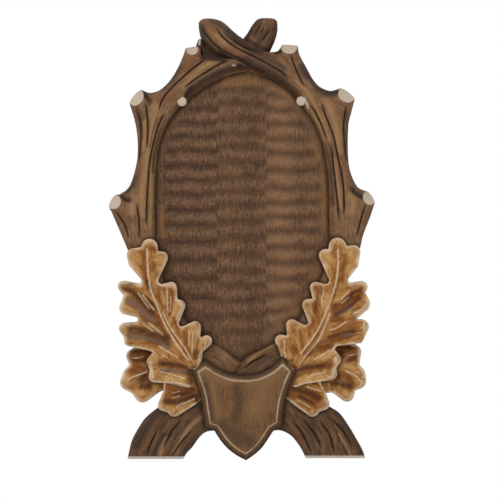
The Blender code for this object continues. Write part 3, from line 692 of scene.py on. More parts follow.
LEFT_FURROWS = (
    (207.5, 57.5, 200, 63, 190, 71, 180, 80, 170, 89.5, 165, 96, 161, 103, 159, 111),
    (228, 61.5, 220, 64, 210, 70, 200, 76, 193, 81, 184, 88),
    (164.5, 114, 160, 122, 157, 130, 154, 141, 151.5, 153, 149.5, 165, 148.5, 180, 147.5, 195, 146.5, 210,
        146.5, 226),
    (145.5, 102, 147, 112, 148, 124, 148, 136, 147, 149),
    (136, 107, 138.5, 115, 140.7, 126, 141, 140, 140.2, 152, 139.5, 162),
    (137, 203, 138, 211, 139.2, 222, 139.5, 239), (115, 210, 120, 217, 125, 225, 129, 238),
)
RIGHT_FURROWS = (
    (290.5, 53, 293, 62, 296, 70, 300, 79, 304.5, 87),
    (310, 105, 315, 112, 320, 122, 324, 132, 326.5, 140),
    (321, 103, 324, 112, 328, 122, 333, 135, 336, 148, 338.5, 160, 341.5, 174, 343.5, 190, 344, 214),
    (330.5, 146, 332.5, 158, 334, 172, 336, 190, 337.5, 205, 338.5, 218),
    (346.5, 105, 344.5, 114, 343.5, 126, 344, 140, 345, 151, 347, 163),
    (365.5, 204, 362, 215, 359, 226, 356.5, 237),
)
OVER_FURROWS = (
    (216.5, 29, 222, 36.5, 230, 44, 240, 50, 250, 55, 260, 60, 270, 65.5, 279, 70.5, 286, 76, 293, 83),
    (202, 26, 205, 33, 212, 42, 220, 49, 231, 55, 243, 61, 252, 66),
    (231, 38.5, 238, 43.5, 247, 48.5, 258, 52),
)
UNDER_FURROWS = ((261.5, 22, 258, 29, 254, 36.5), (271, 28.5, 266, 35, 261, 43))
LOWER_FURROWS = ((268, 354, 260, 358, 251, 363, 244, 369),)
LEFT_FOOT_FURROWS = (
    (158, 430, 153, 439, 149, 448, 146, 457), (181, 420, 173, 430, 167, 440, 163, 449),
    (192, 431, 184, 439, 178, 447, 172, 457),
)
RIGHT_FOOT_FURROWS = (
    (291.5, 421, 300, 430, 306, 441, 312, 454), (302, 418, 312, 430, 318, 440, 321, 449),
    (320, 421, 328, 432, 332, 443, 334, 454), (331, 418, 342, 430, 348, 439, 352, 447),
)

# Strokes of each stain: the radius, then the curve's points on the sheet, as x, y, x, y. The crest strokes
# carry a painted highlight, and the dim and the wider shade strokes are painted shade on the flanks, in
# the notches by the stubs and under the crossing branch.
LEFT_LIMB_STROKES = {
    "shade": ((0.6, 140, 110, 142, 124, 142.5, 140), (0.6, 157, 118, 153, 132, 150, 148),
      (0.6, 134, 184, 130, 190, 125, 194), (2.4, 192, 88, 188, 93, 186, 97),
      (2.4, 240, 67, 248, 68, 256, 69), (1.3, 145, 94, 147, 98, 149, 101),
      (1.4, 122.5, 197, 125, 200, 129, 201), (2.6, 202, 58, 212, 59, 224, 60.5)),
    "grey": ((2.6, 136, 176, 132, 186, 127, 191), (4.6, 241, 66, 226, 70, 213, 77, 201, 85, 191, 93),
      (1.5, 160, 130, 156, 145, 153.5, 160, 152.5, 172), (3.4, 180, 68, 173, 78, 164, 88)),
    "dim": ((3.2, 188, 94, 198, 84, 210, 77, 224, 71, 240, 67), (2.8, 204, 51.5, 213, 54.5, 226, 59),
      (2.8, 145, 93, 147.5, 97, 150, 101), (3, 122.5, 196, 126, 199, 130, 200)),
    "crest": ((2.5, 218, 60.5, 209, 64, 199, 71.5, 189, 81, 183, 88),
      (3.4, 156, 106, 154, 118, 152, 130, 150, 142, 147.5, 156, 145.5, 170, 143.5, 186, 142, 200,
        143, 215),
      (2, 145, 122, 144.5, 135, 143.8, 150), (3.6, 134, 199, 132.5, 212),
      (1.6, 151.5, 172, 151.2, 200, 150.5, 226)),
    "rust": ((4.5, 193, 60, 187, 68), (2.6, 137, 108, 138, 120), (3.5, 171, 97, 164, 103),
      (3.6, 121, 214, 127, 226), (3.6, 139, 168, 136, 182), (3, 176, 84, 166, 94, 158, 100),
      (2, 199, 48, 199.5, 55)),
    "pale": ((1, 233.2, 65.2, 234.8, 65.6),),
}
RIGHT_LIMB_STROKES = {
    "shade": ((0.6, 349, 118, 347, 134, 348, 152, 351, 168, 356, 180), (1.6, 321, 88.5, 330, 92, 337, 91),
      (1.5, 353, 191, 357, 195, 362, 198), (2.6, 281.6, 46.5, 280.5, 50, 276, 53)),
    "grey": ((2.2, 352, 172, 358, 184, 364, 190), (3.4, 300, 66, 306, 77),
      (1.6, 346.5, 112, 346.5, 130, 347, 150), (1.8, 327, 150, 330.5, 165, 332, 182, 333, 205)),
    "dim": ((4, 262, 72, 276, 79, 288, 87, 297, 95), (2.2, 277.5, 48.5, 279.5, 52),
      (3.4, 316, 88, 326, 94, 337, 93), (2.4, 303, 66, 309, 77, 315, 86),
      (3.2, 352, 189, 356, 193, 362, 196)),
    "rust": ((3.6, 264, 57, 275, 59), (3, 280, 58, 273, 58), (3.2, 349, 170, 353, 181),
      (3, 371, 210, 366, 224)),
    "crest": ((2.2, 296, 80, 304, 89, 311, 98, 318, 112, 324, 126, 329, 140),
      (4.2, 326, 101, 331, 112, 335, 124, 337.5, 138, 339.5, 150),
      (1.7, 333.5, 160, 336, 175, 339, 190, 340.5, 206), (4, 351, 197, 353, 204, 350, 212),
      (1.2, 310, 110, 316, 119, 321, 130, 325, 141)),
    "pale": ((1.3, 304.5, 99, 306.5, 103.5, 308, 107.5),),
}
OVER_STROKES = {
    "crest": ((2.4, 206, 23, 212, 31, 220, 40, 228, 46.5),),
    "rust": ((3.4, 202, 21, 208, 26, 214, 31), (2.6, 204, 30, 212, 41, 222, 49),
      (3.6, 226, 49, 236, 55, 250, 61, 262, 66)),
    "grey": ((4.2, 212, 21, 223, 27, 232, 36, 243, 45, 256, 52, 268, 57),
      (4.4, 246, 59, 258, 65, 272, 72, 284, 79), (4.4, 246, 48, 258, 56, 272, 61, 283, 69)),
    "dim": ((4.6, 200.5, 29, 204.5, 41, 213, 50.5, 224, 57, 236, 63),
      (3, 229, 31, 236, 38.5, 247, 46, 260, 52.5),
      (4.2, 240, 61, 254, 67.5, 270, 75.5, 284, 83.5, 296, 92)),
    "shade": ((1, 219, 51.5, 230, 57.5, 240, 62.5, 252, 67.5, 264, 72),
      (0.8, 226, 34, 234, 42, 243, 47.5, 254, 52)),
}
UNDER_STROKES = {
    "crest": ((1.1, 264, 22, 265, 28),),
    "rust": ((3, 267, 20.5, 274, 23.5), (1.6, 250, 36, 256, 42)),
    "grey": ((2.6, 264, 34, 258, 43),),
    "shade": ((0.7, 252, 30, 248, 38, 245, 45), (0.7, 266, 24, 261, 33)),
    "dim": ((2.2, 246, 37.5, 252, 28, 257, 21.5), (2.2, 276, 24, 275.5, 34, 271, 46),
      (2.6, 256, 50, 268, 50)),
}
# The spur lies under the crossing branch: its dim and shade strokes are painted shadow.
SPUR_STROKES = {
    "pale": ((1.1, 199.8, 39.8, 199.3, 44),),
    "dim": ((4, 198, 48, 203, 52, 210, 56),),
    "shade": ((3.4, 204, 44, 208, 50, 216, 55, 228, 59), (1.6, 201.5, 49, 202, 56)),
}
LOWER_STROKES = {
    "crest": ((1.5, 279, 343, 268, 348, 257, 354, 248, 361),),
    "grey": ((2.4, 272, 356, 262, 361, 252, 367),),
}
LEFT_FOOT_STROKES = {
    "crest": ((2, 203, 416, 192, 425, 183, 437, 175, 452), (2.4, 166, 439, 163, 447, 160, 454)),
    "rust": ((1.4, 153, 432, 146, 445, 139, 454),),
    "dim": ((3.8, 168, 409, 154, 417, 144, 431, 137, 446), (4, 178, 409, 196, 405, 206, 401),
      (3, 208, 434, 198, 442, 189, 451, 185, 457), (2.2, 164, 434, 157, 446, 153, 457)),
}
RIGHT_FOOT_STROKES = {
    "rust": ((2.2, 289, 422, 297, 434, 304, 447),),
    "grey": ((2.2, 303, 424, 309, 434, 314, 447),),
    "crest": ((1.1, 339, 434, 346, 446, 351, 457),),
    "dim": ((3.8, 338, 412, 349, 425, 358, 442, 362, 456), (3, 300, 410, 312, 413, 322, 409),
      (3, 280, 431, 290, 437, 299, 448, 306, 457)),
}

# Each leaf: the belt round its lobes and notches, the midrib from the stalk to the tip, and its strokes.
# Its dim and shade strokes are painted shade in the valleys and hollows, and its grey strokes a painted
# sheen on the ridges.
LEFT_MAIN_LEAF = (
    ((200, 374, 0), (203, 352, 0), (206.5, 341, 5.8), (201.5, 336, -1), (195.3, 326.8, 5.8),
     (182, 323.5, -3), (179.8, 305.5, 5.7), (178.3, 298.5, -0.6), (171.3, 287.5, 5.7), (162, 280.5, -3.5),
     (162, 257.5, 6.2), (158.8, 250.6, -0.6), (149.7, 247, 8.2), (140.6, 246.6, -0.6), (133, 254.5, 6.2),
     (133.6, 263, 4.9), (138.5, 280.5, -3), (123.5, 286.3, 5.5), (122.5, 295.5, -1), (126, 308, 6.5),
     (135.5, 319.5, -2.6), (124.5, 328.5, 5.4), (122.6, 336.5, -1), (129.2, 341.3, 4.8), (151, 351, 0),
     (170, 366, 0)),
    (196, 368, 170, 335, 157, 305, 149, 280, 148, 247),
    {"dim": ((4.5, 129, 300, 140, 306, 150, 314, 158, 322), (4.2, 130, 333, 144, 335, 158, 339, 168, 344),
       (3, 127, 288, 137, 291, 145, 297, 152, 304), (2.2, 153, 262, 157, 275, 163, 288, 168, 300),
       (1.1, 161.5, 311, 166, 321, 171, 331, 178, 341, 184, 350, 189, 358),
       (1.2, 151, 284, 153, 291, 156, 297), (1.6, 183.5, 331, 184, 338, 185, 346),
       (1.5, 198.5, 339, 197, 346, 196, 353)),
     "shade": ((2.2, 124, 289.5, 132, 292, 139, 298.5, 146, 306, 153, 313),
       (3.7, 131, 328, 140, 330, 150, 333, 160, 336.5, 167, 339), (1.5, 147, 297, 151, 302, 157, 310),
       (1.7, 147.5, 281, 149, 288), (1, 171.5, 306, 169.5, 315), (2.2, 196, 357, 201, 357)),
     "rust": ((2.6, 144, 253, 144.5, 265, 145.5, 279), (2.8, 157, 316, 162, 328), (3, 143, 316, 149, 320),
       (3, 150, 248, 155, 249), (1.8, 171.5, 290, 172, 301), (2.4, 148, 342, 158, 344),
       (2.4, 163, 332, 167, 339), (2.6, 188, 352, 200, 353), (1.8, 174, 318, 177, 327, 181, 337),
       (1.8, 159, 290, 160, 299, 163, 307), (1.8, 186, 333, 187, 343, 190, 352)),
     "crest": ((4, 131.5, 255, 133, 264), (3.6, 163, 262, 159, 269), (2.6, 125, 305.5, 131, 309),
       (2.6, 162, 292, 162.5, 303), (3.2, 181, 331, 182, 345), (3.2, 196.5, 331, 197.5, 346),
       (3.4, 176, 306, 176, 318), (2.6, 126, 329, 126.5, 333)),
     "grey": ((2.6, 122, 298, 128, 300.5, 135, 305, 142, 311, 149, 317, 153, 320),
       (1.9, 128, 337, 138, 337.6, 150, 339.4, 160, 342.4, 168, 348),
       (1.8, 120, 285, 125, 282.5, 132, 284)),
     "pale": ((1.15, 147.5, 249, 147.6, 262, 148.6, 275, 150.6, 288, 153.5, 296, 157, 305, 160.5, 314,
         165, 324, 170, 333, 176, 343, 182, 351.5, 188.5, 360),
       (0.95, 163, 312, 167, 321, 173, 331.5, 180, 341, 186, 349.5, 191, 359),
       (0.85, 138, 292.5, 143, 300, 149, 308), (0.85, 143, 295, 148, 302, 154, 309.5),
       (0.8, 143, 323, 148, 327, 153, 331), (0.9, 149, 323, 155, 328, 163, 334),
       (0.9, 159, 346, 168, 351.5, 178, 357.5), (0.7, 163, 355, 165, 356.3),
       (0.95, 167.3, 291, 167.5, 300, 168, 310), (0.7, 171.2, 297, 170.6, 305, 170.2, 312),
       (0.75, 189, 331, 188.8, 346), (0.75, 193, 332, 192.5, 345, 192.2, 353),
       (0.9, 206, 338, 205, 345, 203.7, 354), (3, 181, 303, 182.5, 308, 180, 314),
       (1.6, 117.5, 284, 120, 281.5, 127, 280.5), (1.8, 119, 325, 120, 330, 120, 336),
       (1.6, 118, 295, 117.8, 301, 121, 306))},
)
LEFT_SIDE_LEAF = (
    ((204, 392, 0), (200, 362, 0), (155, 350, 0), (152, 361.5, 5.2), (148.8, 369.5, -1), (154.2, 377, 5.4),
     (170, 383.5, 0)),
    (200, 372, 180, 366, 158, 361),
    {"dim": ((5, 160, 364, 174, 366, 190, 369),),
     "shade": ((2.4, 162, 363, 172, 364.5, 188, 366), (3, 190, 370, 191, 380, 194, 388)),
     "grey": ((2, 162, 370, 172, 370.4, 187, 372),),
     "crest": ((2.8, 162, 377, 172, 379, 182, 381), (2.4, 156, 355, 157, 366)),
     "pale": ((0.9, 160.5, 371.6, 170, 373.6, 178, 376, 185, 378.3),
       (1.3, 152, 382, 162, 382.2, 174, 382.5, 184, 384.4, 190, 386),
       (2.6, 150.5, 362, 152, 372, 152, 378), (0.55, 166.5, 376, 166, 380),
       (0.55, 169.5, 376.4, 169, 380.4), (0.55, 172.5, 377, 172, 381))},
)
LEFT_BACK_LEAF = (
    ((175, 386, 0), (170, 350, 0), (140, 344, 0), (132, 356, 6), (127.5, 364.5, -1.5), (130, 375, 7.2),
     (128, 382.5, 8), (131.5, 394, -0.6), (142.5, 394.5, 8.3), (160, 392, 0)),
    (175, 368, 150, 371, 127, 380),
    {"dim": ((5, 131, 355, 140, 355, 148, 357), (5, 136, 372, 144, 374, 148, 380)),
     "rust": ((3.4, 131, 354, 139, 352.5, 146, 354), (3.4, 131, 372, 138, 368.5, 145, 369)),
     "shade": ((2.6, 134, 360.5, 141, 361.5, 147, 360), (1.4, 132, 350.5, 142, 350, 149, 352),
       (3.8, 142, 381, 146, 376.5), (3, 142, 386.5, 149, 386.5)),
     "grey": ((2.2, 141, 384.5, 146, 383.5),),
     "crest": ((3.4, 138, 393, 146, 393.5), (2.6, 128, 376, 126, 384)),
     "pale": ((2.4, 121.5, 384, 124, 391, 131, 396), (2.6, 135.5, 399, 143, 402.5, 151, 398),
       (0.55, 133, 358.3, 138, 358, 143, 356.5), (0.95, 128, 380, 133, 377, 140, 374.6, 146.5, 372))},
)
LEFT_LOW_LEAF = (
    ((206, 396, 0), (200, 380, 0), (164, 380, 0), (161.5, 390, -2), (163.5, 405.5, 5.7),
     (167.3, 413, -0.6), (174.5, 410.5, 6.4), (197, 403.5, 0)),
    (202, 388, 185, 398, 168, 408),
    {"rust": ((6, 168, 397, 182, 398, 194, 398), (3.6, 165, 388, 176, 389, 188, 391)),
     "dim": ((5.5, 172, 392, 182, 393, 194, 394), (3.2, 166, 400, 176, 402, 186, 400)),
     "shade": ((2.2, 176, 394.5, 184, 393.5, 192, 392),
       (2.5, 167, 401.5, 175, 402, 184, 399.5, 194, 395.5), (2, 196, 396, 198, 402)),
     "crest": ((2.6, 181, 409, 188, 405.5, 194, 402.5), (2.6, 168, 407, 172, 409)),
     "pale": ((0.5, 173, 393, 180, 391.3), (0.5, 172.5, 398, 180, 395.6),
       (1, 176.5, 408, 180, 404.5, 187, 402, 194.5, 398.6))},
)
RIGHT_MAIN_LEAF = (
    ((288, 374, 0), (320, 366, 0), (337, 346, 0), (361.5, 343, 0), (361.5, 326.8, 7.3), (358, 318.6, -0.8),
     (361.2, 303.6, 8.8), (366.2, 292.5, -1), (361.6, 286.9, 5.9), (351, 279.8, -3), (353.5, 264, 4.9),
     (353.3, 252, 7), (347, 245.4, -0.6), (337.3, 246.3, 8.7), (327.9, 248.4, -0.6), (325, 255.3, 6.3),
     (325.5, 280.5, -3.5), (315.3, 287.3, 5.5), (311.8, 298.2, -0.6), (307.8, 304.8, 5.9), (305, 322, -3),
     (291.8, 325, 5.9), (286, 334.5, -1), (280.7, 340.5, 5.9), (281, 362, 0)),
    (292, 368, 318, 330, 333, 290, 338, 262, 337, 246),
    {"dim": ((4.5, 356, 299, 346, 305, 338, 311, 332, 318), (4.5, 352, 333, 340, 335, 328, 339, 316, 344),
       (2.4, 360, 289, 352, 293, 346, 299), (2.4, 318, 290, 317, 300, 314, 312),
       (3.2, 330, 346, 318, 349, 308, 354), (1.6, 338.8, 279, 336.6, 287, 334, 294, 330.5, 304),
       (1.3, 320, 283, 321, 291, 323, 299), (1.8, 334, 305, 333, 313),
       (1.2, 324, 319, 320.5, 328, 315, 338, 309, 346, 303, 354.5)),
     "shade": ((1.3, 359, 290, 353, 293, 348, 299.5), (1.5, 359, 298, 352, 304, 345, 309, 336, 314),
       (1.7, 354, 331, 346, 332, 338, 334.5, 329, 337), (1.8, 285, 361, 292, 361)),
     "crest": ((4, 350, 254, 351, 262, 347, 269), (4.6, 351, 254, 355, 262), (3.6, 326.5, 257, 328, 266),
       (3, 311, 304, 312.5, 313), (2.8, 327, 296, 325, 309), (3.4, 299, 328, 301, 343),
       (2.4, 346, 315, 349, 312), (3.4, 329, 355, 320, 358)),
     "rust": ((3.4, 360, 294, 350, 300, 342, 306), (2.8, 356, 327, 344, 328, 334, 331),
       (1.8, 313, 305, 316, 314, 319, 323), (1.8, 300, 331, 301, 340, 303, 349),
       (1.6, 308, 322, 309, 331, 311, 339), (2.4, 345, 256, 343, 268, 341.5, 280),
       (3, 336, 306, 336, 316, 341, 320), (1.6, 315.5, 303, 316, 311), (2.6, 313, 318, 311, 327),
       (2.6, 356, 283, 350, 288), (2.2, 350, 337, 341, 338.5, 332, 341), (3.4, 331, 347, 321, 349),
       (2.6, 293, 347, 296, 352)),
     "grey": ((1.9, 352, 306.5, 344, 310, 337, 314), (1.4, 351, 334, 342, 336),
       (1.4, 352, 317.5, 358, 316.6)),
     "pale": ((1.15, 337.6, 250, 338, 262, 337.2, 274, 335.5, 284, 332.5, 294, 329.5, 303, 325.5, 313,
         321.5, 322, 317, 331, 311, 339.5, 306, 346, 300.5, 353.5),
       (1, 329.5, 313, 327, 321, 323.5, 329, 320, 337, 316, 343, 310, 350, 304, 357, 299.5, 364),
       (0.9, 349.5, 290, 345, 295, 341, 299.5), (0.75, 349, 297, 345, 300.6, 341, 303.6),
       (0.8, 324, 290.5, 322, 298, 321, 308), (0.95, 346, 321.5, 341, 325, 336, 328, 330, 330),
       (0.85, 329, 350.5, 322, 355, 314, 359.5), (0.75, 327, 357, 320, 360, 312, 362.5),
       (0.95, 284.2, 340, 284.2, 350, 285.2, 357), (2.2, 366, 304, 361, 310, 354, 313),
       (2, 364, 322, 364, 330))},
)
RIGHT_SIDE_LEAF = (
    ((284, 392, 0), (305, 384, 0), (331, 373.8, 6.2), (337.2, 368, -1), (334.5, 359.5, 6.3),
     (334, 347, -1), (320, 338, 0), (286, 362, 0)),
    (288, 374, 310, 366, 333, 361),
    {"dim": ((5, 296, 371, 310, 367, 326, 365),),
     "shade": ((2.2, 300, 369, 311, 367, 322, 366), (2.6, 296, 366, 294, 374, 291, 382)),
     "rust": ((2.6, 322, 366, 331, 365.5),),
     "crest": ((2.8, 300, 381, 312, 378.5, 324, 376), (2.6, 322, 356, 330, 354)),
     "pale": ((0.9, 306, 377.5, 314, 374.6, 325, 371.8),
       (1.25, 292, 387, 301, 384, 312, 381.6, 326, 379.6), (2.8, 336, 357, 336, 362),
       (2.8, 334, 369, 333, 375, 328, 378))},
)
RIGHT_BACK_LEAF = (
    ((320, 394, 0), (331.5, 396, -3.2), (347, 394.8, 7.2), (356.5, 391.5, -1), (358, 381, 8.4),
     (357.5, 374.5, 8), (361, 364.5, -1.5), (355, 352, 6.5), (345, 338, 0), (318, 346, 0)),
    (318, 366, 340, 370, 361, 381),
    {"dim": ((5, 342, 352, 350, 353, 356, 355), (5, 338, 378, 346, 380, 352, 384)),
     "rust": ((3.4, 340, 350, 348, 349, 355, 351), (2.8, 343, 374, 349, 377)),
     "shade": ((1.4, 338, 347.5, 348, 347, 357, 348), (2.6, 349, 360, 355, 359), (2, 340, 352, 343, 358),
       (2.6, 343, 385, 350, 386.5), (2, 332, 383, 337, 384)),
     "grey": ((2.2, 342, 384, 349, 385),),
     "crest": ((3, 344, 366, 353, 368), (3.2, 344, 393, 348, 394.5), (2, 356.5, 381, 355.5, 385)),
     "pale": ((0.55, 348, 355.8, 352, 355, 356.5, 354), (0.95, 346, 371, 352, 374, 358, 378, 360.5, 382),
       (1.6, 362, 381, 360, 387, 355, 391), (2.2, 338, 397, 346, 400.5, 353, 396))},
)
RIGHT_LOW_LEAF = (
    ((282, 395, 0), (294, 405, 0), (312.5, 410.3, 6.5), (319.6, 412.4, -0.5), (323.3, 404, 6.2),
     (327, 393.5, -0.8), (318, 378, 0), (288, 380, 0)),
    (286, 387, 303, 397, 320, 407),
    {"rust": ((7.5, 294, 389, 306, 394, 318, 400), (3, 300, 403, 309, 408), (2.6, 314, 384, 322, 386)),
     "dim": ((5.5, 292, 389, 303, 391, 316, 397), (3, 298, 397, 307, 401, 315, 406)),
     "shade": ((2.2, 291, 388, 301, 390, 311, 394, 319, 398), (1.5, 300, 396, 307, 400, 313, 403)),
     "crest": ((2.2, 298, 402.5, 305, 407, 312, 411), (2.6, 318, 405, 323, 402)),
     "pale": ((0.8, 307, 387, 315, 389.6, 321, 391.4), (0.85, 296, 399, 303, 403, 310, 407.4),
       (1, 294.5, 404, 302, 409.5, 309, 414))},
)

SHIELD_STRETCHES = (
    (191, 369.7, 205.5, 359.8),
    (205.5, 359.8, 219.9, 368.9, 235, 374.1, 253, 374.1, 269, 368, 282.4, 356.4),
    (282.4, 356.4, 296.8, 369.7),
    (296.8, 369.7, 289.5, 386, 285, 401, 283, 414, 282.4, 425.3),
    (282.4, 425.3, 273, 431),
    (273, 431, 263, 446, 255, 453.8, 246.3, 460),
    (246.3, 460, 237.5, 455.6, 228, 448.5, 220.5, 440, 214.5, 430.5),
    (214.5, 430.5, 205, 427.5),
    (205, 427.5, 202.4, 411, 199.6, 394, 191, 369.7),
)

# Above this line of the sheet the shield's arris is sanded wider.
SHIELD_TOP_LINE = 382
# Where the shield is rubbed lighter or left darker: the radius, then the points of the line.
SHIELD_STROKES = {
    "crest": ((6, 206, 371, 222, 380, 234, 383), (6, 284, 366, 272, 378, 250, 384),
      (11, 264, 385, 259, 402, 254, 410), (5, 212, 383, 215, 405, 218, 416)),
    "dim": ((5, 236, 386, 239, 402, 235, 420), (8, 222, 426, 238, 436, 250, 440),
      (4, 206, 384, 209, 400, 212, 418)),
}

# The troughs of the gouge cuts across the field, in three columns that meet at these places.
RIPPLE_COLUMNS = (217, 266)
RIPPLE_STRENGTHS = (0.95, 0.8, 0.9)
RIPPLE_ROWS = (
    (78, 93, 109, 122, 136, 151, 166, 180, 194, 210, 225, 242, 260, 279, 298, 318, 338, 358),
    (74, 89, 104, 119, 133, 147, 163, 177, 192, 205, 221, 238, 255, 272, 286, 301, 316, 333, 350, 366),
    (80, 95, 110, 124, 139, 153, 170, 188, 203, 217, 231, 247, 263, 279, 295, 311, 328, 345, 362),
)
# Where the field is golden: the radius, then the points of the line.
FIELD_GOLD = (
    (7, 226, 82, 240, 79, 254, 81),
    (2.8, 322, 176, 324, 190, 324, 208, 324, 226),
    (3.0, 311, 139, 316, 150, 319, 158),
    (2.6, 162, 206, 162, 222, 163, 236),
    (3.6, 318, 268, 309, 292, 299, 308, 288, 320),
)
# The panel is glued up from boards of slightly different tones, which change at these places.
BOARD_SIDES = (160, 176, 214, 226, 240, 247, 257, 269, 282, 290, 300, 312, 330)
BOARD_TONES = (-0.25, -0.1, 0.0, 0.15, 0.1, -0.3, -0.2, 0.45, 0.7, 0.55, 0.15, 0.3, 0.15)
TWIGS = (("left_twig", (182, 101.5)), ("right_twig", (301, 101)))


class Leaf(Carving):
    """A lobed leaf, whose lobes swell along veins that leave the midrib towards the tip. Its edges are
    sanded pale."""

    smallest_veined_lobe = 5.0
    # A vein leaves the midrib this far back, as a share of its own length.
    vein_lean = 0.9
    vein_wide, edge_share = 0.006, 0.25
    # The sanded rim: how wide it is, there and towards the lobes' tips, how it wavers (seed and scale),
    # how strong it is, and how much of the stain and painted shade it takes away.
    rim_wide, tip_wide, tip_share, rim_reach = 0.0022, 0.010, 0.9, 6
    rim_waver = (13, 0.011, 0.011)
    rim_wide_swing = 0.7
    rim_strength, rim_strength_swing = 0.82, 0.5
    rim_clears = 0.6
    stroke_relief = {"crest": 0.0003, "rust": 0.0, "grey": 0.0007, "dim": -0.0006, "shade": -0.0016,
                     "pale": 0.0005}
    stroke_spread = {"crest": 1.2, "rust": 1.4, "grey": 1.15, "dim": 1.1, "shade": 1.35, "pale": 0.82}
    stroke_strength = {"crest": 0.75, "rust": 0.8, "grey": 0.9, "dim": 0.62, "shade": 0.8, "pale": 0.75}
    facet_long, facet_wide, facet_deep = 0.016, 0.0022, 0.0003
    edge_shade_strength = 0.0

    def __init__(self, name, drawing, edge, sizes, covers=()):
        circles, midrib, strokes = drawing
        outline = Outline([(belt(circles), True)])
        along = smooth(midrib)
        self.veins = [along]
        for x, y, radius in circles:
            if radius < self.smallest_veined_lobe:
                continue
            tip = at(x, y)
            away = np.linalg.norm(along - tip, axis=1)
            closest = int(away.argmin())
            run = np.cumsum(np.linalg.norm(np.diff(along[: closest + 1], axis=0), axis=1)[::-1])
            back = int(np.searchsorted(run, self.vein_lean * away[closest]))
            self.veins.append(np.array((along[max(closest - back, 0)], tip)))
        super().__init__(name, outline, edge, crown=None, rounding=sizes.leaf_rounding, sizes=sizes,
                         strokes=strokes, covers=covers)
        self.guides = [run_on(self.veins[0])] + self.veins[1:]

    def rounded(self, points):
        """The leaf swells along its veins and rounds over at its rim."""
        away = distance(points, self.outline.sides, self.rounding)
        slope = 1 - np.clip(away / self.rounding, 0, 1)
        veins = np.vstack([sides_of(vein) for vein in self.veins])
        ridge = fading(distance(points, veins, FADED * self.vein_wide), self.vein_wide)
        swell = self.edge_share + (1 - self.edge_share) * ridge
        return self.edge + self.sizes.leaf_swell * np.sqrt(1 - slope * slope) * swell

    def shade_edges(self, points, stains):
        """Painted shadow beside what lies over the leaf, and its own rim is sanded pale."""
        super().shade_edges(points, stains)
        uneven = wander(points, *self.rim_waver)
        away = distance(points, self.outline.sides, self.rim_reach * self.rim_wide)
        veins = np.vstack([sides_of(vein) for vein in self.veins[1:]])
        tips = fading(distance(points, veins, FADED * self.tip_wide), self.tip_wide)
        wide = self.rim_wide * (1 + self.rim_wide_swing * uneven + self.tip_share * tips)
        rim = fading(away, wide) * (self.rim_strength + self.rim_strength_swing * uneven)
        stains["pale"] = np.maximum(stains["pale"], np.clip(rim, 0, 1))
        stains["shade"] = stains["shade"] * (1 - self.rim_clears * rim)


